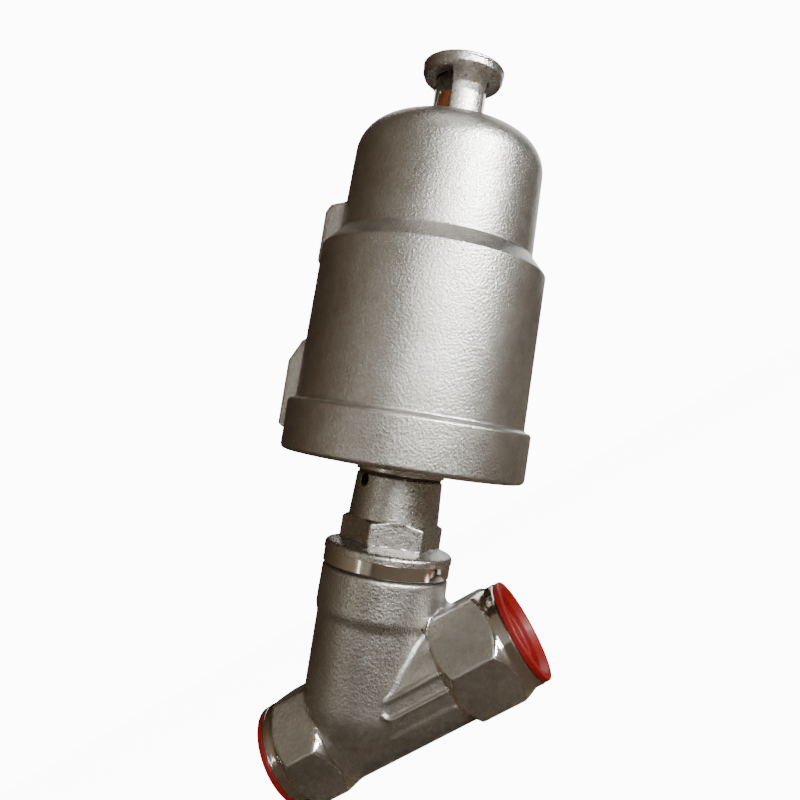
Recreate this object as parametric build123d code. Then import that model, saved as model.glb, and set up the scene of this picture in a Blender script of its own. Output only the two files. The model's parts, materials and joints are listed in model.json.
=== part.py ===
from build123d import *
import math
import os

# Pneumatic angle seat valve, DN25, with a single-acting piston actuator.
# Frame: the origin is on the pipe axis where the inlet thread starts, +X runs along the pipe
# towards the outlet, +Z is up, and the stem leans over the pipe in the XZ plane. Millimetres.
# "Level" means the distance along the stem axis from the point where it crosses the pipe axis.

# ---- Pipe run -------------------------------------------------------------------------------
stem_angle = 51.0             # between the pipe axis and the stem axis, in degrees
inlet_reach = 34.5            # inlet face to the crossing of the two axes
outlet_reach = 72.4           # crossing to the outlet face
hexagon_flats = 41.6          # across the flats of the two pipe ends
inlet_hexagon_length = 20.0
outlet_hexagon_length = 25.5
turned_lip_length = 4.4       # turned ring in front of each hexagon
turned_lip_radius = 20.4
tube_radius = 20.75           # just inside the hexagons' flats
port_thread_radius = 15.15    # minor radius of a G1 thread
port_thread_length = 16.0
lead_in_radius = 17.0         # plain relief in front of the thread
lead_in_depth = 4.2
passage_radius = 13.5
cavity_reach = 14.0           # inlet passage beyond the crossing

# ---- Branch and seat ------------------------------------------------------------------------
branch_radius = 24.7
branch_foot_level = 8.0       # centre of the ball that closes the foot of the branch
collar_radius = 25.7
collar_level = 41.0
branch_top_level = 58.9
chamber_radius = 19.5
chamber_top_level = 44.0
bonnet_thread_radius = 21.5
web_level = 6.0               # top of the web that carries the seat
web_thickness = 4.0
seat_bore_radius = 12.0
seat_lip_width = 2.2
seat_lip_height = 2.0
casting_fillet = 3.0

# ---- Cast pads on the body ------------------------------------------------------------------
marking_pad_length = 31.0
marking_pad_width = 7.6
marking_pad_rim = 0.9
marking_pad_shift = 31.0      # along the pipe from the crossing
foundry_pad_length = 34.0
foundry_pad_width = 10.0
foundry_pad_shift = 27.0
foundry_pad_turn = 40.0       # below the horizontal, in degrees
pad_height = 0.9

# ---- Bonnet ---------------------------------------------------------------------------------
gasket_thickness = 0.8
bonnet_ring_inset = 0.1       # inside the collar it stands on
bonnet_ring_height = 5.5
bonnet_shoulder_height = 2.3
bonnet_hexagon_flats = 36.0
bonnet_hexagon_height = 9.6
bonnet_hexagon_turn = 20.0    # about the stem, in degrees
neck_foot_radius = 18.3
neck_top_radius = 17.4
neck_height = 17.6
spigot_step = 3.4             # shoulder between the neck and its spigot
spigot_length = 15.2
bush_bore_radius = 8.0
packing_bore_radius = 9.0
packing_floor_drop = 1.5      # packing chamber floor below the hexagon's foot
set_screw_radius = 2.5
set_screw_length = 4.0
set_screw_drop = 2.8          # below the neck's top
set_screw_turn = 52.0         # about the stem, in degrees
neck_ring_height = 1.5
neck_ring_depth = 1.4
neck_ring_overlap = 3.0       # how far the ring stands out over the cover's boss
neck_seal_height = 2.2
neck_seal_depth = 1.9
neck_seal_rise = 5.0          # groove above the cover's lower face

# ---- Stem and trim --------------------------------------------------------------------------
stem_radius = 5.0
stem_end_radius = 4.0         # threaded lower and upper ends
disc_radius = 15.5
disc_height = 8.4
seat_ring_outer_radius = 15.0
seat_ring_inner_radius = 9.0
seat_ring_thickness = 3.0
retainer_radius = 10.6
retainer_thickness = 3.0
stem_nut_flats = 13.0
stem_nut_height = 5.0
bush_length = 11.0
packing_ring_count = 5
packing_ring_height = 2.6
packing_washer_thickness = 1.4
packing_spring_wire = 1.8
packing_spring_turns = 4.0
packing_spring_height = 10.0
gland_nut_height = 9.0

# ---- Actuator -------------------------------------------------------------------------------
neck_washer_thickness = 1.0
cylinder_bore_radius = 40.0
cylinder_foot_wall = 6.6      # outside, over the bore
cylinder_top_wall = 5.8
band_wall = 9.6               # band at the foot, over the bore
band_height = 20.2
cylinder_height = 62.8        # above the band
shoulder_height = 7.0         # cone between the large and the small diameter
upper_bore_radius = 34.0      # spring chamber
upper_foot_wall = 5.4
upper_top_wall = 4.3
upper_height = 33.0
dome_corner_radius = 15.0
dome_rise_angle = 18.0        # slope of the dome's roof, in degrees
dome_wall = 5.5               # roof above the spring plate, at the roof's edge
cover_thread_step = 5.0       # cover's thread, over the bore
cover_height = 13.6
cover_floor = 4.8
cover_seal_low = 8.8          # groove of its seal, above the band's lower face
cover_seal_high = 11.0
cover_boss_radius = 20.0
cover_boss_height = 11.2      # neck boss, between its lower and upper faces
cover_boss_drop = 3.2         # how far the neck boss stands below the band
relief_step = 3.6             # relief over the cover, over the bore
relief_height = 3.5
boss_width = 21.0
upper_boss_wall = 12.4        # boss face, over the spring chamber
upper_boss_height = 26.0
lower_boss_wall = 12.0        # boss face, over the piston bore
lower_boss_foot = 8.0         # above the band's lower face
lower_boss_slope = 9.0
upper_boss_slope = 4.0
upper_boss_rise = 12.5        # its top, above the cone
lower_port_rise = 23.0        # above the band's lower face
upper_port_rise = 1.5         # above the cone
lower_boss_height = 37.0
port_radius = 4.28            # minor radius of a G1/8 thread
port_depth = 8.0
air_way_radius = 1.5
guard_thread_radius = 12.25

# ---- Piston and springs ---------------------------------------------------------------------
lift = 8.0                    # stem travel from closed to open
indicator_clearance = 0.5     # between the lifted indicator and its sleeve
piston_height = 13.0
piston_clearance = 0.5        # radial, to the cylinder bore
piston_overtravel = 3.0       # between the cover's rim and the closed piston
piston_rim = 4.5
piston_floor = 7.0
piston_hub_radius = 12.0
lip_seal_height = 4.6
lip_seal_depth = 4.0
guide_ring_height = 3.0
guide_ring_depth = 2.0
piston_washer_thickness = 1.6
piston_nut_flats = 15.0
piston_nut_height = 6.5
outer_spring_inset = 7.2      # centre of its wire, inside the spring chamber
outer_spring_wire = 5.0
outer_spring_turns = 6.0
inner_spring_radius = 19.0
inner_spring_wire = 3.4
inner_spring_turns = 8.0
spring_plate_thickness = 2.5

# ---- Position indicator ---------------------------------------------------------------------
guard_radius = 12.3
guard_bore_radius = 10.6
guard_foot_radius = 13.4
guard_foot_height = 1.2
guard_thread_length = 6.5
guard_height = 24.0           # above the dome's seat
guard_head_radius = 16.9
guard_flare_height = 11.0
guard_head_thickness = 6.0
pillar_angle = 66.5           # width of each pillar about the stem, in degrees
pillar_turn = 118.0           # direction of the front pillar about the stem, in degrees
sleeve_wall = 1.3
guard_dish = 0.6              # how far the head is sunk in the middle
guard_roof = 1.6              # left over the sleeve in the middle of the head
indicator_rod_radius = 3.0
indicator_foot_radius = 6.0   # socket that screws onto the stem
indicator_foot_height = 8.0
indicator_foot_taper = 3.0
indicator_rod_reach = 6.0     # how far the rod stands in the indicator
indicator_cap_radius = 8.5
indicator_cap_height = 13.0

# ---- Caps in the pipe ports -----------------------------------------------------------------
cap_flange_radius = 20.2
cap_flange_thickness = 2.6
cap_dish_radius = 17.6
cap_dish_depth = 1.6

# ---- Fits -----------------------------------------------------------------------------------
running_gap = 0.05            # radial, between parts that slide or turn on each other
seated_gap = 0.05             # between faces that meet across a joint
thread_gap = 0.08             # radial, between screwed parts

# ---- Radii worked out from the sizes above --------------------------------------------------
bonnet_ring_radius = collar_radius - bonnet_ring_inset
spigot_radius = neck_top_radius - spigot_step
cylinder_foot_radius = cylinder_bore_radius + cylinder_foot_wall
cylinder_top_radius = cylinder_bore_radius + cylinder_top_wall
band_radius = cylinder_bore_radius + band_wall
cover_thread_radius = cylinder_bore_radius + cover_thread_step
relief_radius = cylinder_bore_radius + relief_step
piston_radius = cylinder_bore_radius - piston_clearance
lower_boss_face = cylinder_bore_radius + lower_boss_wall
upper_foot_radius = upper_bore_radius + upper_foot_wall
upper_top_radius = upper_bore_radius + upper_top_wall
upper_boss_face = upper_bore_radius + upper_boss_wall
outer_spring_radius = upper_bore_radius - outer_spring_inset

# ---- Levels worked out from the sizes above -------------------------------------------------
seat_level = web_level + seat_lip_height
ring_level = branch_top_level + gasket_thickness
shoulder_level = ring_level + bonnet_ring_height
hexagon_level = shoulder_level + 2 * bonnet_shoulder_height
neck_level = hexagon_level + bonnet_hexagon_height
neck_top_level = neck_level + neck_height
cover_level = neck_top_level + neck_washer_thickness
cover_boss_top_level = cover_level + cover_boss_height
band_level = cover_level + cover_boss_drop
cover_top_level = band_level + cover_height
band_top_level = band_level + band_height
cone_level = band_top_level + cylinder_height
upper_level = cone_level + shoulder_height
dome_level = upper_level + upper_height
piston_level = cover_top_level + piston_overtravel
piston_top_level = piston_level + piston_height
bush_level = chamber_top_level + 3.0
packing_level = hexagon_level - packing_floor_drop
gland_level = (packing_level + packing_spring_height + 2 * packing_washer_thickness
               + packing_ring_count * packing_ring_height)
disc_level = seat_level + seated_gap
stem_shoulder_level = disc_level + disc_height

rise = math.radians(dome_rise_angle)
roof_edge_radius = upper_top_radius - dome_corner_radius * (1 - math.sin(rise))
roof_edge_level = dome_level + dome_corner_radius * math.cos(rise)
ceiling_level = roof_edge_level - dome_wall
ceiling_radius = outer_spring_radius + outer_spring_wire / 2 + 0.6
guard_seat_level = roof_edge_level + (roof_edge_radius - guard_foot_radius) * math.tan(rise)
guard_socket_level = guard_seat_level - guard_thread_length
sleeve_radius = guard_bore_radius - running_gap
sleeve_bore_radius = sleeve_radius - sleeve_wall
guard_bore_top = guard_seat_level + guard_height - guard_dish - guard_roof
sleeve_top_level = guard_bore_top - 2 * seated_gap
dome_hub_level = guard_socket_level - 9.5

# ---- Frames ---------------------------------------------------------------------------------
lean = math.radians(stem_angle)
inlet_face = -lead_in_depth
crossing = inlet_face + inlet_reach
outlet_face = crossing + outlet_reach
stem_plane = Plane(
    origin=(crossing, 0, 0),
    x_dir=(-math.sin(lean), 0, math.cos(lean)),
    z_dir=(math.cos(lean), 0, math.sin(lean)),
)
parts = {}


# ---- Helpers --------------------------------------------------------------------------------
def turned(*outline):
    """Solid turned about Z from (radius, level) corners; a third number rounds that corner."""
    face = make_face(Polyline(*[corner[:2] for corner in outline], close=True))
    for corner in outline:
        if len(corner) == 3:
            vertex = face.vertices().sort_by_distance((corner[0], corner[1], 0))[0]
            face = fillet(vertex, corner[2])
    return revolve(Plane.XZ * face, Axis.Z)


def ring(inner, outer, low, high):
    """Plain turned ring."""
    return turned((inner, low), (outer, low), (outer, high), (inner, high))


def rod(radius, low, high):
    """Plain turned rod on the Z axis."""
    return Pos(0, 0, low) * Cylinder(radius, high - low, align=(Align.CENTER, Align.CENTER, Align.MIN))


def pipe_rod(radius, start, end):
    """Round bar along the pipe between two places on the X axis."""
    return extrude(Plane.YZ.offset(start) * Circle(radius), amount=end - start)


def hexagon(flats, low, high, turn=0.0):
    """Hexagonal prism about Z, with a corner at the given turn."""
    outline = RegularPolygon(flats / 2, 6, major_radius=False, rotation=turn)
    return extrude(Plane.XY.offset(low) * outline, amount=high - low)


def hex_nut(flats, height, low, bore, turn=0.0):
    """Nut with its corners turned off at 30 degrees on the upper side."""
    corner = flats / math.sqrt(3)
    drop = (corner - flats / 2) * math.tan(math.radians(30))
    envelope = turned(
        (0, low), (corner, low), (corner, low + height - drop), (flats / 2, low + height), (0, low + height)
    )
    return (hexagon(flats, low, low + height, turn) & envelope) - rod(bore, low, low + height)


def coil(radius, wire, turns, low, high):
    """Compression spring with a closed coil at each end, between two flat seats."""
    start = low + wire / 2
    height = high - low - wire
    path = Helix(pitch=height / turns, height=height, radius=radius)
    section = Plane(origin=path @ 0, z_dir=path % 0) * Circle(wire / 2)
    spring = Pos(0, 0, start) * sweep(section, path=path, is_frenet=True)
    return spring


def on_stem(solid):
    """Carry a solid built about Z, with its levels as heights, to the stem axis."""
    return stem_plane.location * solid


def keep(name, solid):
    """Remember a finished sub-component under its name."""
    solid.label = name
    parts[name] = solid


# ---- Valve body -----------------------------------------------------------------------------
def pipe_end(face, inward, length):
    """Wrench hexagon with a turned lip in front and its corners turned off at both ends.

    face is where the end is along the pipe, and inward is +1 or -1, towards the body.
    """
    corner = hexagon_flats / math.sqrt(3) + 0.5
    lip = turned_lip_length
    front = lip + corner - turned_lip_radius
    back = length + corner - tube_radius
    outline = [
        (0, 0), (turned_lip_radius, 0), (turned_lip_radius, lip), (corner, front),
        (corner, length), (tube_radius, back), (0, back),
    ]
    profile = make_face(Polyline(*[(face + inward * x, r) for r, x in outline], close=True))
    envelope = revolve(profile, Axis.X)
    low, high = sorted((face, face + inward * back))
    prism = extrude(
        Plane.YZ.offset(low) * RegularPolygon(hexagon_flats / 2, 6, major_radius=False, rotation=0),
        amount=high - low,
    )
    return prism & envelope


def body_outside():
    """Outer form of the casting: run, leaning branch with its collar, and both hexagons."""
    tube = pipe_rod(
        tube_radius,
        inlet_face + 0.6 * inlet_hexagon_length,
        outlet_face - 0.55 * outlet_hexagon_length,
    )
    branch = on_stem(turned(
        (0, branch_foot_level), (branch_radius, branch_foot_level),
        (branch_radius, collar_level - 1.5, 3.0), (collar_radius, collar_level + 2.0, 3.0),
        (collar_radius - 0.2, branch_top_level, 0.8), (0, branch_top_level),
    ))
    foot = on_stem(Pos(0, 0, branch_foot_level) * Sphere(branch_radius))
    cast = tube + (branch + foot)
    creases = cast.edges().filter_by(
        lambda edge: edge.geom_type not in (GeomType.LINE, GeomType.CIRCLE)
    )
    cast = fillet(creases, casting_fillet)
    return (
        cast
        + pipe_end(inlet_face, 1, inlet_hexagon_length)
        + pipe_end(outlet_face, -1, outlet_hexagon_length)
    )


def marking_pad():
    """Raised rim with round ends on the near side, parallel to the pipe, left empty inside."""
    middle = crossing + marking_pad_shift
    plane = Plane(origin=(middle, -(tube_radius + pad_height), 0), x_dir=(1, 0, 0), z_dir=(0, 1, 0))
    outer = SlotOverall(marking_pad_length, marking_pad_width)
    inner = SlotOverall(
        marking_pad_length - 2 * marking_pad_rim, marking_pad_width - 2 * marking_pad_rim
    )
    return extrude(plane * (outer - inner), amount=2.5 * pad_height)


def foundry_pad():
    """Low flat land under the run, left empty."""
    tilt = math.radians(foundry_pad_turn)
    plane = Plane(
        origin=(crossing + foundry_pad_shift, 0, 0),
        x_dir=(1, 0, 0),
        z_dir=(0, -math.cos(tilt), -math.sin(tilt)),
    )
    outline = RectangleRounded(foundry_pad_length, foundry_pad_width, foundry_pad_width / 2.2)
    return extrude(plane.offset(tube_radius - 1.5) * outline, amount=1.5 + 0.4 * pad_height)


def below(level):
    """Everything nearer the pipe than a level on the stem axis."""
    size = 200.0
    return on_stem(Pos(0, 0, level) * Box(size, size, size, align=(Align.CENTER, Align.CENTER, Align.MAX)))


def above(level):
    """Everything further up the stem axis than a level."""
    size = 200.0
    return on_stem(Pos(0, 0, level) * Box(size, size, size, align=(Align.CENTER, Align.CENTER, Align.MIN)))


def valve_body():
    """Y casting with the flow led up through the seat and out over the web."""
    thread_end = lead_in_depth + port_thread_length
    bowl = pipe_rod(passage_radius, inlet_face + thread_end, crossing + cavity_reach)
    inlet = bowl & below(web_level - web_thickness)
    outlet = pipe_rod(passage_radius, crossing, outlet_face - thread_end) & above(web_level)
    chamber = on_stem(rod(chamber_radius, web_level, chamber_top_level))
    socket = on_stem(rod(bonnet_thread_radius, chamber_top_level, branch_top_level))
    solid = body_outside() + marking_pad() + foundry_pad()
    solid = solid - inlet - outlet - chamber - socket
    solid = solid + on_stem(ring(
        seat_bore_radius, seat_bore_radius + seat_lip_width, web_level - 1.0, seat_level
    ))
    solid = solid - on_stem(rod(seat_bore_radius, -0.5 * seat_bore_radius, seat_level))
    for face, inward in ((inlet_face, 1), (outlet_face, -1)):
        for radius, depth in ((lead_in_radius, lead_in_depth), (port_thread_radius, thread_end)):
            start, end = sorted((face, face + inward * depth))
            solid = solid - pipe_rod(radius, start, end)
    return solid


# ---- Bonnet and what it holds ---------------------------------------------------------------
def bonnet():
    """Screwed bonnet: male thread, polished ring, hexagon, neck and the spigot on its top."""
    thread_radius = bonnet_thread_radius - thread_gap
    turned_part = turned(
        (0, chamber_top_level + 1.5), (thread_radius - 1.2, chamber_top_level + 1.5),
        (thread_radius, chamber_top_level + 2.7), (thread_radius, ring_level),
        (bonnet_ring_radius - 0.4, ring_level), (bonnet_ring_radius, ring_level + 0.4),
        (bonnet_ring_radius, shoulder_level), (bonnet_ring_radius + 0.3, shoulder_level + 0.2),
        (bonnet_ring_radius + 0.3, shoulder_level + bonnet_shoulder_height, 1.8),
        (bonnet_hexagon_flats / 2 + 2.0, hexagon_level + 0.4, 1.0),
        (bonnet_hexagon_flats / 2 - 1.0, hexagon_level + 0.4),
        (neck_foot_radius, neck_level - 1.0), (neck_foot_radius, neck_level),
        (neck_top_radius, neck_top_level - 0.8), (neck_top_radius - 0.8, neck_top_level),
        (spigot_radius, neck_top_level), (spigot_radius, neck_top_level + spigot_length - 0.8),
        (spigot_radius - 0.8, neck_top_level + spigot_length), (0, neck_top_level + spigot_length),
    )
    corner = bonnet_hexagon_flats / math.sqrt(3)
    envelope = turned(
        (0, shoulder_level), (corner, shoulder_level), (corner, neck_level - 1.2, 1.0),
        (neck_foot_radius + 0.6, neck_level + 0.2), (0, neck_level + 0.2),
    )
    wrench = hexagon(bonnet_hexagon_flats, shoulder_level, neck_level, bonnet_hexagon_turn) & envelope
    solid = turned_part + wrench
    solid = solid - rod(stem_radius + 1.5, chamber_top_level, bush_level)
    solid = solid - rod(bush_bore_radius, bush_level, packing_level)
    solid = solid - rod(packing_bore_radius, packing_level, neck_top_level + spigot_length)
    solid = solid - spigot_groove(spigot_ring_level(), neck_ring_height, neck_ring_depth)
    solid = solid - spigot_groove(spigot_seal_level(), neck_seal_height, neck_seal_depth)
    return on_stem(solid - set_screw_bore())


def spigot_ring_level():
    """Foot of the groove for the ring that holds the actuator on the neck."""
    return cover_boss_top_level + seated_gap


def spigot_seal_level():
    """Foot of the groove for the seal between neck and cover."""
    return cover_level + neck_seal_rise


def spigot_groove(low, height, depth):
    """Groove round the spigot."""
    return ring(spigot_radius - depth, spigot_radius + 1.0, low, low + height)


def set_screw_bore():
    """Cross hole in the neck for the set screw."""
    level = neck_top_level - set_screw_drop
    inner = neck_top_radius - set_screw_length - 0.6
    bore = Rot(0, 90, 0) * Cylinder(set_screw_radius, 10.0, align=(Align.CENTER, Align.CENTER, Align.MIN))
    return Rot(0, 0, set_screw_turn) * (Pos(inner, 0, level) * bore)


def set_screw():
    """Socket set screw sunk in the neck."""
    level = neck_top_level - set_screw_drop
    inner = neck_top_radius - set_screw_length - 0.6
    screw = Cylinder(
        set_screw_radius - running_gap, set_screw_length, align=(Align.CENTER, Align.CENTER, Align.MIN)
    )
    socket = extrude(Plane.XY.offset(set_screw_length - 2.0) * RegularPolygon(1.25, 6, major_radius=False), 2.0)
    return on_stem(Rot(0, 0, set_screw_turn) * (Pos(inner, 0, level) * (Rot(0, 90, 0) * (screw - socket))))


def packing_rings():
    """Stack of chevron rings: each is a V in section that opens downwards onto the next."""
    inner = stem_radius + running_gap
    outer = packing_bore_radius - running_gap
    middle = (inner + outer) / 2
    first = packing_level + packing_washer_thickness + packing_spring_height
    chevron = 0.8
    stack = []
    for index in range(packing_ring_count):
        low = first + index * packing_ring_height
        high = low + packing_ring_height - 0.1
        stack.append(turned(
            (inner, low), (middle, low + chevron), (outer, low),
            (outer, high - chevron), (middle, high), (inner, high - chevron),
        ))
    return on_stem(Compound(children=stack))


def trim_parts():
    """Everything screwed to or sliding in the bonnet that does not belong to the stem."""
    inner = stem_radius + running_gap
    packing = packing_bore_radius - running_gap
    keep("bonnet_gasket", on_stem(ring(
        bonnet_thread_radius + 0.2, collar_radius - 1.4, branch_top_level, ring_level
    )))
    keep("guide_bush", on_stem(ring(
        inner, bush_bore_radius - running_gap, bush_level, bush_level + bush_length
    )))
    keep("packing_spring", on_stem(coil(
        (packing + inner) / 2, packing_spring_wire, packing_spring_turns,
        packing_level + packing_washer_thickness,
        packing_level + packing_washer_thickness + packing_spring_height,
    )))
    keep("packing_washer", on_stem(ring(
        inner, packing, packing_level, packing_level + packing_washer_thickness
    )))
    keep("packing_rings", packing_rings())
    gland_foot = gland_level - packing_washer_thickness + 0.05
    gland = ring(inner, packing, gland_foot, gland_foot + gland_nut_height)
    slot = Pos(0, 0, gland_foot + gland_nut_height) * Box(
        4 * packing, 2.5, 5.0, align=(Align.CENTER, Align.CENTER, Align.CENTER)
    )
    keep("gland_nut", on_stem(gland - slot))
    wiper_top = neck_top_level + spigot_length
    keep("stem_wiper", on_stem(turned(
        (inner, wiper_top - 4.0), (packing, wiper_top - 4.0), (packing, wiper_top - 0.4),
        (inner + 1.6, wiper_top - 0.4), (inner + 0.6, wiper_top + 0.8), (inner, wiper_top + 0.8),
    )))
    keep("set_screw", set_screw())
    seal = spigot_seal_level()
    keep("neck_seal", on_stem(Pos(0, 0, seal + neck_seal_height / 2) * Torus(
        spigot_radius - neck_seal_depth / 2 - 0.02, neck_seal_depth / 2 - 0.02
    )))
    groove = spigot_ring_level()
    neck_ring = ring(
        spigot_radius - neck_ring_depth + 0.05, spigot_radius + neck_ring_overlap,
        groove + 0.05, groove + neck_ring_height - 0.05,
    )
    gap = Pos(spigot_radius, 0, groove) * Box(10, 3.0, 8.0)
    keep("neck_ring", on_stem(neck_ring - gap))
    keep("neck_washer", on_stem(ring(
        spigot_radius + 0.1, neck_top_radius - 0.5, neck_top_level, cover_level - seated_gap
    )))


# ---- Stem, disc and piston ------------------------------------------------------------------
def stem_parts():
    """Parts that lift together: stem, disc with its seat ring, piston and indicator."""
    retainer_level = disc_level - retainer_thickness
    nut_level = retainer_level - stem_nut_height
    tip_level = nut_level - 1.5
    piston_shoulder = piston_level
    nut_top = piston_top_level + piston_washer_thickness + piston_nut_height
    stem_end = nut_top + 5.0
    keep("stem", on_stem(turned(
        (0, tip_level), (stem_end_radius - 0.6, tip_level), (stem_end_radius, tip_level + 0.6),
        (stem_end_radius, stem_shoulder_level), (stem_radius, stem_shoulder_level),
        (stem_radius, piston_shoulder), (stem_end_radius, piston_shoulder),
        (stem_end_radius, stem_end - 0.6), (stem_end_radius - 0.6, stem_end), (0, stem_end),
    )))
    bore = stem_end_radius + running_gap
    groove_top = disc_level + seat_ring_thickness
    keep("valve_disc", on_stem(turned(
        (bore, disc_level + 0.02), (seat_ring_inner_radius - 0.05, disc_level + 0.02),
        (seat_ring_inner_radius - 0.05, groove_top), (seat_ring_outer_radius + 0.05, groove_top),
        (seat_ring_outer_radius + 0.05, disc_level + 1.0), (disc_radius, disc_level + 1.0),
        (disc_radius, stem_shoulder_level - 3.0, 1.0), (9.0, stem_shoulder_level),
        (bore, stem_shoulder_level),
    )))
    keep("seat_ring", on_stem(ring(
        seat_ring_inner_radius, seat_ring_outer_radius, disc_level, groove_top
    )))
    keep("disc_retainer", on_stem(turned(
        (bore, retainer_level), (retainer_radius - 0.8, retainer_level),
        (retainer_radius, retainer_level + 0.8), (retainer_radius, disc_level), (bore, disc_level),
    )))
    keep("disc_nut", on_stem(Rot(180, 0, 0) * hex_nut(
        stem_nut_flats, stem_nut_height, -retainer_level, bore
    )))
    keep("piston", on_stem(piston()))
    seal_low = piston_level + 2.0
    outer = cylinder_bore_radius - running_gap
    keep("piston_seal", on_stem(turned(
        (piston_radius - lip_seal_depth + 0.05, seal_low + 0.05),
        (piston_radius - lip_seal_depth + 2.0, seal_low + 0.05),
        (piston_radius - lip_seal_depth + 2.6, seal_low + 2.0),
        (outer - 0.8, seal_low + 0.05), (outer, seal_low + 0.6),
        (piston_radius - 0.3, seal_low + lip_seal_height - 0.05),
        (piston_radius - lip_seal_depth + 0.05, seal_low + lip_seal_height - 0.05),
    )))
    guide_low = seal_low + lip_seal_height + 1.6
    keep("piston_guide_ring", on_stem(ring(
        piston_radius - guide_ring_depth + 0.05, outer,
        guide_low + 0.05, guide_low + guide_ring_height - 0.05,
    )))
    washer_top = piston_top_level + piston_washer_thickness
    keep("piston_washer", on_stem(ring(bore, 0.8 * piston_hub_radius, piston_top_level, washer_top)))
    keep("piston_nut", on_stem(hex_nut(piston_nut_flats, piston_nut_height, washer_top, bore)))
    cap_top = sleeve_top_level - sleeve_wall - indicator_clearance - lift
    cap_low = cap_top - indicator_cap_height
    socket_top = cap_low + indicator_rod_reach + seated_gap
    keep("indicator_rod", on_stem(
        turned(
            (0, nut_top), (indicator_foot_radius, nut_top),
            (indicator_foot_radius, nut_top + indicator_foot_height),
            (indicator_rod_radius, nut_top + indicator_foot_height + indicator_foot_taper),
            (indicator_rod_radius, cap_low + indicator_rod_reach), (0, cap_low + indicator_rod_reach),
        ) - rod(bore, nut_top, stem_end + 0.2)
    ))
    keep("indicator_cap", on_stem(turned(
        (indicator_rod_radius + seated_gap, cap_low), (indicator_cap_radius, cap_low),
        (indicator_cap_radius, cap_top, 1.6), (0, cap_top), (0, socket_top),
        (indicator_rod_radius + seated_gap, socket_top),
    )))


def piston():
    """Dished piston with a hub, and grooves for its lip seal and guide ring."""
    seal_low = piston_level + 2.0
    guide_low = seal_low + lip_seal_height + 1.6
    floor = piston_level + piston_floor
    solid = turned(
        (stem_end_radius + running_gap, piston_level), (piston_radius - 0.8, piston_level),
        (piston_radius, piston_level + 0.8), (piston_radius, piston_top_level - 0.5),
        (piston_radius - 0.5, piston_top_level), (piston_radius - piston_rim, piston_top_level),
        (piston_radius - piston_rim - 0.6, floor, 1.5), (piston_hub_radius + 0.6, floor, 1.5),
        (piston_hub_radius, piston_top_level), (stem_end_radius + running_gap, piston_top_level),
    )
    solid = solid - ring(
        piston_radius - lip_seal_depth, piston_radius + 1, seal_low, seal_low + lip_seal_height
    )
    return solid - ring(
        piston_radius - guide_ring_depth, piston_radius + 1, guide_low, guide_low + guide_ring_height
    )


# ---- Actuator -------------------------------------------------------------------------------
def port_boss(face, low, high, slope):
    """Upright boss on the side of the cylinder, flat in front and round at its top corners."""
    side = Plane.XZ * make_face(Polyline(
        (upper_bore_radius + 2.0, low), (face, low), (face, high - slope), (face - 0.55 * slope, high),
        (upper_bore_radius + 2.0, high), close=True,
    ))
    block = extrude(side, amount=boss_width / 2, both=True)
    uprights = block.edges().filter_by(Axis.Z).sort_by(Axis.X)[-2:]
    return fillet(uprights, 3.0)


def actuator_cylinder():
    """One casting: thick foot band, large cylinder, conical step, small cylinder, dome, bosses."""
    roof_radius = guard_foot_radius + 1.0
    roof_level = roof_edge_level + (roof_edge_radius - roof_radius) * math.tan(rise)
    corner = math.radians(45)
    corner_centre = upper_top_radius - dome_corner_radius
    outline = [
        Polyline(
            (0, band_level), (band_radius - 4.2, band_level), (band_radius - 1.3, band_level + 1.4),
            (band_radius, band_level + 4.6), (band_radius - 0.1, band_top_level - 1.6),
            (band_radius - 1.0, band_top_level - 0.3), (cylinder_foot_radius + 0.6, band_top_level + 0.4),
            (cylinder_foot_radius, band_top_level + 1.4),
            (cylinder_top_radius, cone_level - 0.8), (cylinder_top_radius - 0.8, cone_level + 0.2),
            (upper_foot_radius + 0.4, upper_level), (upper_foot_radius, upper_level + 1.4),
            (upper_top_radius, dome_level),
        ),
        ThreePointArc(
            (upper_top_radius, dome_level),
            (corner_centre + dome_corner_radius * math.cos(corner),
             dome_level + dome_corner_radius * math.sin(corner)),
            (roof_edge_radius, roof_edge_level),
        ),
        Polyline(
            (roof_edge_radius, roof_edge_level), (roof_radius, roof_level),
            (roof_radius - 0.3, guard_seat_level + 0.1), (0, guard_seat_level + 0.1), (0, band_level),
        ),
    ]
    outside = revolve(Plane.XZ * make_face(Curve() + outline), Axis.Z)
    lower_foot = band_level + lower_boss_foot
    lower_top = lower_foot + lower_boss_height
    outside = outside + port_boss(lower_boss_face, lower_foot, lower_top, lower_boss_slope)
    upper_top = upper_level + upper_boss_rise
    upper_foot = upper_top - upper_boss_height
    outside = outside + port_boss(upper_boss_face, upper_foot, upper_top, upper_boss_slope)
    return on_stem(outside - cylinder_inside() - port_bores())


def cylinder_inside():
    """Piston bore, spring chamber and the stepped socket in the dome."""
    hub = guard_thread_radius + 3.0
    room = turned(
        (0, band_level - 1), (cover_thread_radius, band_level - 1), (cover_thread_radius, cover_top_level),
        (relief_radius, cover_top_level), (relief_radius, cover_top_level + relief_height),
        (cylinder_bore_radius, cover_top_level + relief_height),
        (cylinder_bore_radius, cone_level - 2.0), (upper_bore_radius, upper_level - 3.0),
        (upper_bore_radius, ceiling_level - 6.0, 2.0), (ceiling_radius, ceiling_level),
        (hub, ceiling_level), (hub, dome_hub_level), (0, dome_hub_level),
    )
    socket = rod(guard_thread_radius, guard_socket_level - 1.4, guard_seat_level + 1)
    rod_bore = rod(indicator_rod_radius + running_gap, dome_hub_level - 1, guard_socket_level)
    seal_groove = ring(0, indicator_rod_radius + 2.0, dome_hub_level + 2.6, dome_hub_level + 4.8)
    return room + socket + rod_bore + seal_groove


def port_level(which):
    """Level of an air port: 0 is the lower one, under the piston, and 1 is the upper one."""
    return (band_level + lower_port_rise, upper_level + upper_port_rise)[which]


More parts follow.
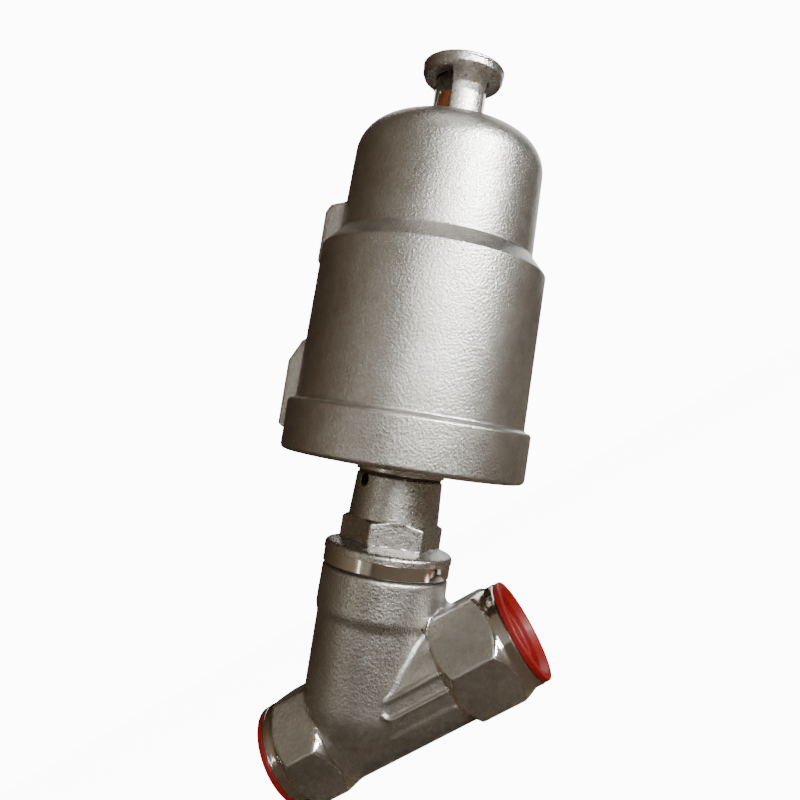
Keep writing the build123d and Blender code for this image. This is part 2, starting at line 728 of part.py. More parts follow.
def port_bores():
    """Threaded air ports and the drilled ways from them into the two chambers."""
    lower = port_level(0)
    upper = port_level(1)
    bores = (
        side_bore(port_radius, lower_boss_face - port_depth, lower_boss_face + 1, lower)
        + side_bore(port_radius, upper_boss_face - port_depth, upper_boss_face + 1, upper)
        + side_bore(air_way_radius, upper_bore_radius - 2.0, upper_boss_face - 2.0, upper)
    )
    way = lower_boss_face - port_depth - air_way_radius + 0.6
    relief_top = cover_top_level + relief_height
    drilling = Pos(way, 0, 0) * rod(air_way_radius, relief_top - 1.0, lower)
    return bores + drilling + side_bore(air_way_radius, way, lower_boss_face - 2.0, lower)


def side_bore(radius, start, end, level):
    """Round hole square to the stem, between two distances from its axis."""
    hole = Cylinder(radius, end - start, align=(Align.CENTER, Align.CENTER, Align.MIN))
    return Pos(start, 0, level) * (Rot(0, 90, 0) * hole)


def base_cover():
    """Screwed foot cover with the boss that turns on the neck."""
    bore = spigot_radius + running_gap
    rim = cover_thread_radius - thread_gap
    floor = band_level + cover_floor
    return on_stem(turned(
        (bore, cover_level), (neck_top_radius + 0.5, cover_level),
        (neck_top_radius + 0.5, band_level - 0.7, 2.4), (rim - 3.5, band_level), (rim, band_level),
        (rim, band_level + cover_seal_low), (rim - 2.0, band_level + cover_seal_low),
        (rim - 2.0, band_level + cover_seal_high), (rim, band_level + cover_seal_high),
        (rim, cover_top_level - 0.1), (rim - 4.0, cover_top_level - 0.1),
        (rim - 5.0, floor, 2.0), (cover_boss_radius + 1.0, floor, 2.0),
        (cover_boss_radius, cover_boss_top_level), (bore, cover_boss_top_level),
    ))


def indicator_guard():
    """Guard with two wide pillars that open into a trumpet-shaped head."""
    seat = guard_seat_level + 0.1
    head = guard_seat_level + guard_height
    window_top = head - guard_head_thickness
    flare = head - guard_flare_height - 1.5
    outline = [
        Polyline(
            (0, guard_socket_level), (guard_thread_radius - thread_gap, guard_socket_level),
            (guard_thread_radius - thread_gap, seat), (guard_foot_radius, seat),
            (guard_foot_radius, seat + 0.7 * guard_foot_height), (guard_radius, seat + guard_foot_height),
            (guard_radius, flare),
        ),
        ThreePointArc(
            (guard_radius, flare), (guard_radius + 0.26 * (guard_head_radius - guard_radius), head - 5.6),
            (guard_head_radius, head - 1.5),
        ),
        Polyline(
            (guard_head_radius, head - 1.5), (guard_head_radius, head - 0.6),
            (guard_head_radius - 0.8, head), (guard_head_radius - 3.0, head), (0, head - guard_dish),
            (0, guard_socket_level),
        ),
    ]
    solid = revolve(Plane.XZ * make_face(Curve() + outline), Axis.Z)
    solid = solid - rod(guard_bore_radius, guard_socket_level, guard_bore_top)
    opening = 180.0 - pillar_angle
    sector = sector_of_cylinder(3 * guard_radius, opening, seat + guard_foot_height, window_top)
    for side in (0, 180):
        solid = solid - Rot(0, 0, pillar_turn + pillar_angle / 2 + side) * sector
    return on_stem(solid)


def sector_of_cylinder(radius, angle, low, high):
    """Slice of a cylinder from the X axis round to an angle."""
    return Pos(0, 0, low) * Cylinder(
        radius, high - low, arc_size=angle, align=(Align.NONE, Align.NONE, Align.MIN)
    )


def actuator_parts():
    """Parts that turn on the neck with the cylinder."""
    keep("actuator_cylinder", actuator_cylinder())
    keep("base_cover", base_cover())
    rim = cover_thread_radius - thread_gap
    seal_level = band_level + (cover_seal_low + cover_seal_high) / 2
    keep("cover_seal", on_stem(Pos(0, 0, seal_level) * Torus(rim - 0.95, 0.9)))
    spring_top = ceiling_level - spring_plate_thickness
    spring_foot = piston_level + piston_floor + seated_gap
    keep("outer_spring", on_stem(coil(
        outer_spring_radius, outer_spring_wire, outer_spring_turns, spring_foot, spring_top
    )))
    keep("inner_spring", on_stem(coil(
        inner_spring_radius, inner_spring_wire, inner_spring_turns, spring_foot, spring_top
    )))
    keep("spring_plate", on_stem(ring(
        guard_thread_radius + 3.2, ceiling_radius - 0.2, spring_top, ceiling_level
    )))
    keep("rod_seal", on_stem(ring(
        indicator_rod_radius + running_gap, indicator_rod_radius + 1.95,
        dome_hub_level + 2.65, dome_hub_level + 4.75,
    )))
    keep("sleeve_seal", on_stem(ring(
        sleeve_bore_radius + 0.1, guard_thread_radius - 0.1, guard_socket_level - 1.4, guard_socket_level
    )))
    keep("indicator_guard", indicator_guard())
    top = sleeve_top_level
    sleeve = turned(
        (0, guard_socket_level), (sleeve_radius, guard_socket_level), (sleeve_radius, top, 4.0), (0, top)
    ) - turned(
        (0, guard_socket_level), (sleeve_bore_radius, guard_socket_level),
        (sleeve_bore_radius, top - sleeve_wall, 3.0), (0, top - sleeve_wall),
    )
    keep("indicator_sleeve", on_stem(sleeve))


# ---- Transport caps -------------------------------------------------------------------------
def port_cap():
    """Dished plastic cap: a flange on the port's face and a short spigot in its relief."""
    spigot = lead_in_radius - 2 * running_gap
    depth = lead_in_depth - 0.3
    return turned(
        (0, -depth), (spigot - 0.3, -depth), (spigot, 1.0 - depth), (spigot, 0),
        (cap_flange_radius, 0), (cap_flange_radius, cap_flange_thickness, 0.7),
        (cap_dish_radius, cap_flange_thickness), (cap_dish_radius - 1.2, cap_flange_thickness - cap_dish_depth),
        (0, cap_flange_thickness - cap_dish_depth),
    )


keep("valve_body", valve_body())
keep("bonnet", bonnet())
trim_parts()
stem_parts()
actuator_parts()
keep("inlet_cap", Plane(origin=(inlet_face, 0, 0), x_dir=(0, 1, 0), z_dir=(-1, 0, 0)).location * port_cap())
keep("outlet_cap", Plane(origin=(outlet_face, 0, 0), x_dir=(0, 1, 0), z_dir=(1, 0, 0)).location * port_cap())

os.makedirs("parts", exist_ok=True)
for name, solid in parts.items():
    export_step(solid, os.path.join("parts", name + ".step"))
print(len(parts), "sub-components")
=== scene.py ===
"""Looks of a pneumatic angle seat valve: cast and turned steel, plastic caps, stage and camera."""
import json
import math

import bmesh
import bpy
import numpy as np
from bpy.props import FloatProperty, FloatVectorProperty, IntProperty, PointerProperty
from mathutils import Euler, Matrix, Vector


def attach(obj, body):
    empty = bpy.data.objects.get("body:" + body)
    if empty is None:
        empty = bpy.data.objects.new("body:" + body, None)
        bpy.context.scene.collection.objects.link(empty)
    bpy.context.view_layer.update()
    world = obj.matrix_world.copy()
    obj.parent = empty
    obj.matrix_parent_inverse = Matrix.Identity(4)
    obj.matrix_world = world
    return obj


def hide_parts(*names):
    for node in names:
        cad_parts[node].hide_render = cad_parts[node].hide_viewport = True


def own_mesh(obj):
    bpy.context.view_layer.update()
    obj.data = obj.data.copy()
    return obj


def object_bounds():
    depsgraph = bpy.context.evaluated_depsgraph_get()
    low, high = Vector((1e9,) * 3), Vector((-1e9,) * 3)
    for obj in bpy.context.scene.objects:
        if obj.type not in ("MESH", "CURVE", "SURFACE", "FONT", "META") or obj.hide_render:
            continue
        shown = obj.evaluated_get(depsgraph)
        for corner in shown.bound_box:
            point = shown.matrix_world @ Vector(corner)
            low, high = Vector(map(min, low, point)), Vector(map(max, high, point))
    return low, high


bl_info = {
    "name": "Angle Seat Valve",
    "version": (1, 0, 0),
    "blender": (4, 5, 0),
    "location": "3D Viewport > Sidebar > Angle Valve",
    "description": "Dresses an angle seat valve in cast steel, polished rings and plastic caps",
    "category": "Object",
}

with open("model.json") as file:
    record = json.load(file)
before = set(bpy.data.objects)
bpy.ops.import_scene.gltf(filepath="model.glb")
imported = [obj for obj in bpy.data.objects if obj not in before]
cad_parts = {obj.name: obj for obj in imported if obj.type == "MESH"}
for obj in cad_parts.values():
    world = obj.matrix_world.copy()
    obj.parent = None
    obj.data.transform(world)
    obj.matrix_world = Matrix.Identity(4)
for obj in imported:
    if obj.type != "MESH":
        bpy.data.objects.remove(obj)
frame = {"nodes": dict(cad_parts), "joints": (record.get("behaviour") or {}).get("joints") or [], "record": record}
cad_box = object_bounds()


# ---- Axles taken from the frame -------------------------------------------------------------
def joint_named(name):
    """The frame's joint of that name."""
    return next(joint for joint in frame["joints"] if joint["name"] == name)


def mount_named(name):
    """The record's mount of that name."""
    return next(mount for mount in frame["record"]["mounts"] if mount["name"] == name)


class Axle:
    """Right-handed axes with the third one along the line that a piece is turned about.

    A place is the origin plus radius times (cosine of the turn times the first axis plus sine of
    the turn times the second axis) plus level times the third axis.
    """

    def __init__(self, origin, along, first):
        self.origin = np.array(origin, dtype=float)
        self.third = np.array(along, dtype=float) / np.linalg.norm(along)
        first = np.array(first, dtype=float)
        first = first - self.third * (first @ self.third)
        self.first = first / np.linalg.norm(first)
        self.second = np.cross(self.third, self.first)

    def place(self, radius, turn, level):
        """Points for arrays of radius, turn and level that fit one shape."""
        radius, turn, level = np.broadcast_arrays(radius, turn, level)
        return (
            self.origin
            + (radius * np.cos(turn))[..., None] * self.first
            + (radius * np.sin(turn))[..., None] * self.second
            + level[..., None] * self.third
        )

    def levels(self, node):
        """Lowest and highest level of a CAD node along this axle."""
        mesh = frame["nodes"][node].data
        places = np.empty(3 * len(mesh.vertices))
        mesh.vertices.foreach_get("co", places)
        levels = (places.reshape(-1, 3) - self.origin) @ self.third
        return float(levels.min()), float(levels.max())


turn_joint = joint_named("actuator_turn")
STEM = Axle(turn_joint["pos_m"], turn_joint["axis"], mount_named("air_port_upper")["axis"])
INLET = Axle(mount_named("inlet_port")["pos_m"], mount_named("inlet_port")["axis"], (0, 0, 1))
OUTLET = Axle(mount_named("outlet_port")["pos_m"], mount_named("outlet_port")["axis"], (0, 0, 1))


def port_axle(name):
    """Axle of an air port, with its level counted from the port's face inwards as negative."""
    port = mount_named(name)
    length = port["dims"]["length_mm"] * 0.001
    face = np.array(port["pos_m"]) + np.array(port["axis"]) * length / 2
    return Axle(face, port["axis"], STEM.third)


# ---- Sizes and colours a user may change ----------------------------------------------------
def length(name, description, default):
    """A size in metres."""
    return FloatProperty(
        name=name, description=description, default=default, min=0.0, precision=5,
        unit="LENGTH", subtype="DISTANCE",
    )


def share(name, description, default):
    """A number from none to all."""
    return FloatProperty(
        name=name, description=description, default=default, min=0.0, max=1.0, subtype="FACTOR"
    )


def colour(name, description, default):
    """A linear colour."""
    return FloatVectorProperty(
        name=name, description=description, default=default, size=3, min=0.0, max=1.0, subtype="COLOR"
    )


class BodySizes(bpy.types.PropertyGroup):
    """Sizes of the valve casting and its ports."""

    evenness: length("Face size", "Size of the even faces the castings are remade with", 0.00072)
    lip_radius: length("Lip radius", "Radius of the turned lip at each pipe end", 0.0204)
    lead_in_radius: length("Relief radius", "Radius of the plain relief in front of the thread", 0.0170)
    lead_in_depth: length("Relief depth", "Depth of the relief in front of the thread", 0.0042)
    thread_radius: length("Thread core", "Radius of the pipe thread at its crests", 0.01515)
    thread_depth: length("Thread depth", "Height of the pipe thread", 0.00140)
    thread_length: length("Thread length", "Length of the pipe thread", 0.0160)
    thread_pitch: length("Thread pitch", "Pitch of the pipe thread", 0.002309)


class BonnetSizes(bpy.types.PropertyGroup):
    """Sizes of the bonnet."""

    ring_radius: length("Ring radius", "Radius of the polished ring", 0.0256)
    ring_height: length("Ring height", "Height of the polished ring", 0.0055)
    shoulder_radius: length("Shoulder radius", "Radius of the cast shoulder over the ring", 0.0259)
    hexagon_flats: length("Hexagon", "Distance across the hexagon's flats", 0.0360)
    hexagon_height: length("Hexagon height", "Height of the hexagon", 0.0096)
    hexagon_turn: FloatProperty(
        name="Hexagon turn", description="Turn of the hexagon about the stem",
        default=math.radians(20.0), subtype="ANGLE", unit="ROTATION",
    )
    neck_foot_radius: length("Neck foot", "Radius of the neck at its foot", 0.0183)
    neck_top_radius: length("Neck top", "Radius of the neck at its top", 0.0174)
    screw_radius: length("Screw hole", "Radius of the set screw's hole", 0.0025)
    screw_turn: FloatProperty(
        name="Screw turn", description="Direction of the set screw about the stem",
        default=math.radians(52.0), subtype="ANGLE", unit="ROTATION",
    )


class ActuatorSizes(bpy.types.PropertyGroup):
    """Sizes of the actuator casting, its foot cover and the indicator."""

    band_radius: length("Band radius", "Radius of the band at the foot", 0.0496)
    band_height: length("Band height", "Height of the band at the foot", 0.0202)
    foot_radius: length("Cylinder foot", "Radius of the large cylinder over the band", 0.0466)
    top_radius: length("Cylinder top", "Radius of the large cylinder under the cone", 0.0458)
    cone_radius: length("Upper foot", "Radius of the small cylinder over the cone", 0.0394)
    dome_radius: length("Upper top", "Radius of the small cylinder under the dome", 0.0383)
    cylinder_height: length("Cylinder height", "Height of the large cylinder over the band", 0.0628)
    cone_height: length("Cone height", "Height of the cone", 0.0070)
    upper_height: length("Upper height", "Height of the small cylinder", 0.0330)
    dome_corner: length("Dome corner", "Radius of the dome's round corner", 0.0150)
    dome_rise: FloatProperty(
        name="Dome rise", description="Slope of the dome's roof",
        default=math.radians(18.0), subtype="ANGLE", unit="ROTATION",
    )
    boss_width: length("Boss width", "Width of the two port bosses", 0.0210)
    lower_boss_face: length("Lower boss", "Distance of the lower boss's face from the stem", 0.0520)
    upper_boss_face: length("Upper boss", "Distance of the upper boss's face from the stem", 0.0464)
    cover_radius: length("Cover radius", "Radius of the screwed foot cover", 0.04492)
    spanner_holes: IntProperty(
        name="Spanner holes", description="Number of spanner holes in the foot cover",
        default=4, min=0, max=8,
    )
    sleeve_radius: length("Sleeve radius", "Outer radius of the clear sleeve", 0.01055)
    sleeve_wall: length("Sleeve wall", "Wall of the clear sleeve", 0.0013)
    plug_radius: length("Indicator radius", "Radius of the coloured indicator", 0.0085)


class CapSizes(bpy.types.PropertyGroup):
    """Sizes of the plastic caps in the pipe ports."""

    flange_radius: length("Flange radius", "Radius of a cap's flange", 0.0202)
    flange_height: length("Flange height", "Thickness of a cap's flange", 0.0026)
    dish_radius: length("Dish radius", "Radius of the dish in a cap's face", 0.0176)
    dish_depth: length("Dish depth", "Depth of the dish in a cap's face", 0.0052)


class FinishChoices(bpy.types.PropertyGroup):
    """Colours and grain of the finishes."""

    steel: colour("Cast steel", "Colour of the blasted castings", (0.60, 0.592, 0.572))
    steel_stain: colour("Cast steel stain", "Darker tone on the castings", (0.46, 0.442, 0.412))
    turned_steel: colour("Turned steel", "Colour of the machined faces", (0.62, 0.58, 0.52))
    cap_red: colour("Cap red", "Colour of the plastic caps", (0.16, 0.0035, 0.0025))
    indicator_orange: colour("Indicator", "Colour of the indicator in its sleeve", (0.42, 0.10, 0.025))
    grain: share("Grain", "Strength of the blasted grain", 0.27)


class StageChoices(bpy.types.PropertyGroup):
    """Camera, floor and light."""

    camera_place: FloatVectorProperty(
        name="Camera place", description="Where the camera stands", default=(0.1572, -0.2992, 0.0464),
        size=3, unit="LENGTH", subtype="XYZ",
    )
    camera_turn: FloatVectorProperty(
        name="Camera turn", description="How the camera is turned",
        default=(1.778794, 0.503406, 0.268835), size=3, unit="ROTATION", subtype="EULER",
    )
    focal_length: FloatProperty(
        name="Focal length", description="Focal length of the camera in millimetres", default=33.91
    )
    floor_colour: colour("Floor", "Colour of the floor", (0.93, 0.93, 0.93))
    lamp_share: FloatProperty(
        name="Lamps", description="Power of all lamps, as a multiple of the usual", default=1.0, min=0.0
    )


# ---- Surfaces -------------------------------------------------------------------------------
def rounded(corners, steps=8):
    """Outline through (radius, level) corners; a third number rounds that corner.

    A rounded corner becomes an arc that touches both sides. Its centre lies on the line that
    halves the corner, rounding over the sine of half the corner away from it. One point is added
    on each side just before the arc, so that shading turns only along the arc.
    """
    points = []
    for index, corner in enumerate(corners):
        here = np.array(corner[:2], dtype=float)
        if len(corner) < 3 or index in (0, len(corners) - 1):
            points.append(here[None])
            continue
        before = np.array(corners[index - 1][:2]) - here
        after = np.array(corners[index + 1][:2]) - here
        room = 0.46 * min(np.linalg.norm(before), np.linalg.norm(after))
        before, after = before / np.linalg.norm(before), after / np.linalg.norm(after)
        half = math.acos(float(np.clip(before @ after, -1, 1))) / 2
        reach = min(corner[2] / math.tan(half), room)
        radius = reach * math.tan(half)
        middle = (before + after) / np.linalg.norm(before + after)
        centre = here + middle * radius / math.sin(half)
        start, end = here + before * reach - centre, here + after * reach - centre
        sweep = math.pi - 2 * half
        share_along = np.linspace(0, 1, steps + 1)[:, None]
        arc = (np.sin((1 - share_along) * sweep) * start + np.sin(share_along * sweep) * end)
        lead = 1.0 + 0.12 * steps / 8
        points.append((here + before * reach * lead)[None])
        points.append(centre + arc / math.sin(sweep))
        points.append((here + after * reach * lead)[None])
    return np.vstack(points)


def resampled(outline, spacing, low, high):
    """The outline with extra points, spacing apart, wherever its level is between low and high."""
    steps = np.linalg.norm(np.diff(outline, axis=0), axis=1)
    reach = np.concatenate(([0.0], np.cumsum(steps)))
    extra = np.arange(0.0, reach[-1], spacing)
    levels = np.interp(extra, reach, outline[:, 1])
    extra = extra[(levels > low) & (levels < high)]
    reach_all = np.unique(np.round(np.concatenate((reach, extra)), 7))
    return np.stack([np.interp(reach_all, reach, outline[:, axis]) for axis in (0, 1)], axis=1)


def smooth_least(first, second, width):
    """The smaller of two arrays, with the corner where they cross rounded over a width.

    Where they differ by less than the width, the square of the shortfall over four widths is
    taken off the smaller one.
    """
    shortfall = np.maximum(width - np.abs(first - second), 0.0)
    return np.minimum(first, second) - shortfall ** 2 / (4 * width)


def smooth_most(first, second, width):
    """The larger of two arrays, with the corner where they cross rounded over a width."""
    return -smooth_least(-first, -second, width)


def piece_from_grid(name, points, closed_rows=False, sharp=35.0):
    """Mesh piece through a grid of points whose columns close on themselves.

    Row i and column j give point i, j; each face joins two neighbours of one row to those of the
    next. Points that coincide, as at a pole, are merged and the faces are turned outwards.
    """
    rows, columns = points.shape[:2]
    numbers = np.arange(rows * columns).reshape(rows, columns)
    if closed_rows:
        numbers = np.vstack((numbers, numbers[:1]))
    right = np.roll(numbers, -1, axis=1)
    quads = np.stack((numbers[:-1], right[:-1], right[1:], numbers[1:]), axis=-1).reshape(-1, 4)
    mesh = bpy.data.meshes.new(name)
    mesh.vertices.add(rows * columns)
    mesh.vertices.foreach_set("co", np.ascontiguousarray(points, dtype=np.float32).ravel())
    mesh.loops.add(quads.size)
    mesh.loops.foreach_set("vertex_index", quads.ravel().astype(np.int32))
    mesh.polygons.add(len(quads))
    mesh.polygons.foreach_set("loop_start", (4 * np.arange(len(quads))).astype(np.int32))
    mesh.update(calc_edges=True)
    return finished_piece(name, mesh, sharp)


def finished_piece(name, mesh, sharp):
    """Object for a mesh: doubles merged, faces outwards, smooth shading with sharp edges kept."""
    work = bmesh.new()
    work.from_mesh(mesh)
    bmesh.ops.remove_doubles(work, verts=work.verts, dist=2e-7)
    bmesh.ops.dissolve_degenerate(work, edges=work.edges, dist=1e-7)
    bmesh.ops.recalc_face_normals(work, faces=work.faces)
    work.to_mesh(mesh)
    work.free()
    mesh.polygons.foreach_set("use_smooth", np.ones(len(mesh.polygons), dtype=bool))
    mesh.set_sharp_from_angle(angle=math.radians(sharp))
    piece = bpy.data.objects.new(name, mesh)
    bpy.context.scene.collection.objects.link(piece)
    return piece


def turned_piece(name, axle, outline, turns=160, closed_rows=False, sharp=35.0):
    """Piece turned about an axle from an outline of (radius, level) points."""
    turn = np.linspace(0, 2 * math.pi, turns, endpoint=False)[None, :]
    points = axle.place(outline[:, :1], turn, outline[:, 1:])
    return piece_from_grid(name, points, closed_rows, sharp)


def with_modifiers(piece, *changes):
    """Add modifiers, each a type and its settings, and make the result the piece's own mesh."""
    for kind, settings in changes:
        modifier = piece.modifiers.new(kind.title(), kind)
        for name, value in settings.items():
            setattr(modifier, name, value)
    bpy.context.view_layer.update()
    seen = piece.evaluated_get(bpy.context.evaluated_depsgraph_get())
    result = bpy.data.meshes.new_from_object(seen)
    piece.modifiers.clear()
    old = piece.data
    piece.data = result
    bpy.data.meshes.remove(old)
    return piece


def casting_copy(node, name, face_size, rounds, move=None):
    """Copy of a CAD node's surface remade with even faces and evened out, as a casting's edges are.

    The loose triangles are merged, remade on a grid of cubes, and each point is drawn to the mean
    of its neighbours a number of times.
    """
    mesh = frame["nodes"][node].data.copy()
    mesh.name = name
    if move:
        places = np.empty(3 * len(mesh.vertices))
        mesh.vertices.foreach_get("co", places)
        mesh.vertices.foreach_set("co", move(places.reshape(-1, 3)).ravel())
    piece = finished_piece(name, mesh, 180.0)
    with_modifiers(
        piece,
        ("REMESH", {"mode": "VOXEL", "voxel_size": face_size, "use_smooth_shade": True}),
        ("SMOOTH", {"factor": 0.5, "iterations": rounds}),
    )
    piece.data.polygons.foreach_set("use_smooth", np.ones(len(piece.data.polygons), dtype=bool))
    return piece


def bored(piece, axle, radius, deep, out, countersink=0.0):
    """Cut a round hole along an axle, from a level inside to one outside, with a small countersink."""
    outline = np.array([
        (0.0, deep), (radius, deep), (radius, -countersink), (radius + 2 * countersink, countersink),
        (radius + 2 * countersink, out), (0.0, out),
    ])
    cutter = turned_piece("cutter", axle, outline, turns=64)
    with_modifiers(piece, ("BOOLEAN", {"operation": "DIFFERENCE", "object": cutter, "solver": "EXACT"}))
    bpy.data.objects.remove(cutter)
    piece.data.set_sharp_from_angle(angle=math.radians(35.0))
    return piece


def dress(piece, body, slot, material, *replaced):
    """Give a piece its body, material and the CAD nodes it stands for; the slot is not used."""
    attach(piece, body)
    if replaced:
        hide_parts(*replaced)
    piece.data.materials.clear()
    piece.data.materials.append(material)
    return piece


# ---- Shader expressions ---------------------------------------------------------------------
class Signal:
    """An output socket that can be added, multiplied and compared; each step adds a Math node."""

    def __init__(self, finish, socket):
        self.finish = finish
        self.socket = socket

    def _math(self, operation, *values, **settings):
        node = self.finish.node("ShaderNodeMath", dict(operation=operation, **settings), *values)
        return node.signal(0)

    def __add__(self, other):
        return self._math("ADD", self, other)

    def __sub__(self, other):
        return self._math("SUBTRACT", self, other)

    def __rsub__(self, other):
        return self._math("SUBTRACT", other, self)

    def __mul__(self, other):
        return self._math("MULTIPLY", self, other)

    def __gt__(self, other):
        return self._math("GREATER_THAN", self, other)

    def __lt__(self, other):
        return self._math("LESS_THAN", self, other)

    __radd__ = __add__
    __rmul__ = __mul__

    def limited(self):
        """The value kept between none and one."""
        return self._math("ADD", self, 0.0, use_clamp=True)


class Step:
    """A node with its outputs as signals."""

    def __init__(self, finish, node):
        self.finish = finish
        self.node = node

    def signal(self, output):
        """One of the node's outputs, by name or number."""
        return Signal(self.finish, self.node.outputs[output])


class Sketch:
    """A node tree and the one way that nodes are put into it."""

    def __init__(self, tree):
        self.tree = tree
        self.tree.nodes.clear()

    def node(self, kind, settings, *values, **named):
        """New node: settings first, then the values or links of its sockets by order or by name."""
        node = self.tree.nodes.new(kind)
        stops = settings.pop("stops", None)
        for key, value in settings.items():
            setattr(node, key, value)
        if stops:
            ramp = node.color_ramp
            while len(ramp.elements) > len(stops):
                ramp.elements.remove(ramp.elements[-1])
            while len(ramp.elements) < len(stops):
                ramp.elements.new(1.0)
            for element, (position, tone) in zip(ramp.elements, stops):
                element.position = position
                element.color = (*tone, 1.0) if len(tone) == 3 else tone
        pairs = list(enumerate(values))
        pairs += [(key.replace("_", " "), value) for key, value in named.items()]
        for key, value in pairs:
            socket = node.inputs[key]
            if isinstance(value, Signal):
                self.tree.links.new(value.socket, socket)
            else:
                socket.default_value = value
        return Step(self, node)

    def ramp(self, value, *stops):
        """Value or colour led through a ramp."""
        return self.node("ShaderNodeValToRGB", {"stops": list(stops)}, value).signal(0)

    def mix(self, factor, first, second):
        """Mix of two colours."""
        node = self.tree.nodes.new("ShaderNodeMix")
        node.data_type = "RGBA"
        for index, value in ((0, factor), (6, first), (7, second)):
            if isinstance(value, Signal):
                self.tree.links.new(value.socket, node.inputs[index])
            else:
                node.inputs[index].default_value = value if index == 0 else (*value, 1.0)
        return Signal(self, node.outputs[2])

    def link(self, signal, socket):
        """Lead a signal into a socket."""
        self.tree.links.new(signal.socket, socket)


class Finish(Sketch):
    """A procedural material, built up from nodes and ended in one Principled shader."""

    def __init__(self, name, **constants):
        self.material = bpy.data.materials.new(name)
        self.material.use_nodes = True
        super().__init__(self.material.node_tree)
        self.shader = self.tree.nodes.new("ShaderNodeBsdfPrincipled")
        output = self.tree.nodes.new("ShaderNodeOutputMaterial")
        self.tree.links.new(self.shader.outputs[0], output.inputs[0])
        for socket, value in constants.items():
            title = socket.replace("_", " ").title().replace("Ior", "IOR")
            self.shader.inputs[title].default_value = value
        self.place = self.node("ShaderNodeTexCoord", {}).signal("Object")

    def noise(self, scale, detail=3.0, roughness=0.55, place=None, distortion=0.0):
        """Noise value about one half, at a scale in cells a metre."""
        step = self.node(
            "ShaderNodeTexNoise", {"noise_dimensions": "3D"},
            Vector=place or self.place, Scale=scale, Detail=detail, Roughness=roughness,
            Distortion=distortion,
        )
        return step.signal(0)

    def along(self, axle):
        """Distance of a point from an axle's origin along the axle."""
        direction = tuple(float(value) for value in axle.third)
        origin = float(axle.origin @ axle.third)
        product = self.node(
            "ShaderNodeVectorMath", {"operation": "DOT_PRODUCT"}, self.place, direction
        ).signal("Value")
        return product - origin

    def away(self, axle):
        """Distance of a point from an axle."""
        origin, third = tuple(map(float, axle.origin)), tuple(map(float, axle.third))
        offset = self.node(
            "ShaderNodeVectorMath", {"operation": "SUBTRACT"}, self.place, origin
        ).signal(0)
        across = self.node(
            "ShaderNodeVectorMath", {"operation": "CROSS_PRODUCT"}, offset, third
        ).signal(0)
        return self.node("ShaderNodeVectorMath", {"operation": "LENGTH"}, across).signal("Value")

    def relief(self, height, distance, strength, below=None):
        """Bump normal from a height value."""
        named = {"Height": height, "Distance": distance, "Strength": strength}
        if below is not None:
            named["Normal"] = below
        return self.node("ShaderNodeBump", {}, **named).signal(0)

    def end(self, **inputs):
        """Link what varies into the shader and return the material."""
        for name, signal in inputs.items():
            self.tree.links.new(signal.socket, self.shader.inputs[name.replace("_", " ")])
        return self.material


# ---- Finishes -------------------------------------------------------------------------------
# Where the turned cones of a pipe end lie. Each cone falls by as much as it runs, so its radius
# less or plus the depth behind the face is one number.
front_cone = 0.0157       # radius less depth on the cone in front of the hexagon
front_cone_end = 0.0092   # depth at which it has passed the hexagon's corners
back_cone = 0.0242        # radius plus depth on the cone behind it, over the hexagon's length
back_cone_end = 0.0045    # depth at which it ends, over the hexagon's length
hexagon_reach = 0.0246    # just outside the hexagon's corners
speck_tone = (0.14, 0.115, 0.09)


def blasted_steel(name, choices, drift=60.0, dull=0.0, ends=()):
    """Blasted stainless casting: fine pits, soft waves, and tone that drifts a little.

    Each of the pipe ends, given as axle, face level and hexagon length, has its lip and the cones
    that turn its corners off left bright by the tool: the share of these is one where the distance
    from the axle, less or plus that from the face, passes the cone's own.
    """
    finish = Finish(name, metallic=1.0)
    broad = finish.noise(drift, detail=3.0)
    patch = finish.noise(drift * 5.0, detail=2.0)
    fine = finish.noise(1250.0, detail=4.0, roughness=0.62)
    pits = finish.node(
        "ShaderNodeTexVoronoi", {"feature": "F1"}, Vector=finish.place, Scale=900.0, Randomness=1.0
    ).signal("Distance")
    tone = (broad * 0.7 + patch * 0.3 - 0.36) * 2.6
    base = finish.mix(tone.limited(), tuple(choices.steel_stain), tuple(choices.steel))
    speck = ((fine - 0.52) * 3.0).limited()
    base = finish.mix(speck * 0.35, base, speck_tone)
    rough = (patch - 0.5) * 0.08 + (fine - 0.5) * 0.16 + (0.34 + dull)
    waves = finish.relief(patch, 0.0004, 0.10)
    height = fine * 0.9 + pits * 0.4
    for axle, face, hexagon in ends:
        deep = face - finish.along(axle)
        away = finish.away(axle)
        front = (away - deep > front_cone) * (deep < front_cone_end)
        back = (away + deep > hexagon + back_cone) * (deep < hexagon + back_cone_end)
        bright = (front + back * (away < hexagon_reach)).limited()
        height = height * (1.0 - bright)
        rough = rough * (1.0 - bright * 0.68)
        base = finish.mix(bright, base, tuple(choices.turned_steel))
    grain = finish.relief(height, 0.00030, choices.grain * 2.4, waves)
    return finish.end(Base_Color=base, Roughness=rough, Normal=grain)


def turned_steel(name, choices, axle, tone=None, rough=0.24, mark=0.35):
    """Machined steel: fine rings left by the tool, running round an axle."""
    finish = Finish(name, metallic=1.0)
    rings = finish.node("ShaderNodeCombineXYZ", {}, finish.along(axle), finish.away(axle)).signal(0)
    marks = finish.noise(5200.0, detail=2.0, place=rings)
    bands = finish.noise(900.0, detail=2.0, place=rings)
    cloud = finish.noise(90.0, detail=3.0)
    steel = tuple(tone or choices.turned_steel)
    dark = tuple(0.62 * value for value in steel)
    base = finish.mix((marks * 0.45 + cloud * 0.55 - 0.2).limited() * 0.55, steel, dark)
    roughness = (marks - 0.5) * 0.16 + (bands - 0.5) * 0.12 + (cloud - 0.5) * 0.08 + rough
    normal = finish.relief(marks * 0.6 + bands * 0.4, 0.00006, mark)
    return finish.end(Base_Color=base, Roughness=roughness, Normal=normal)


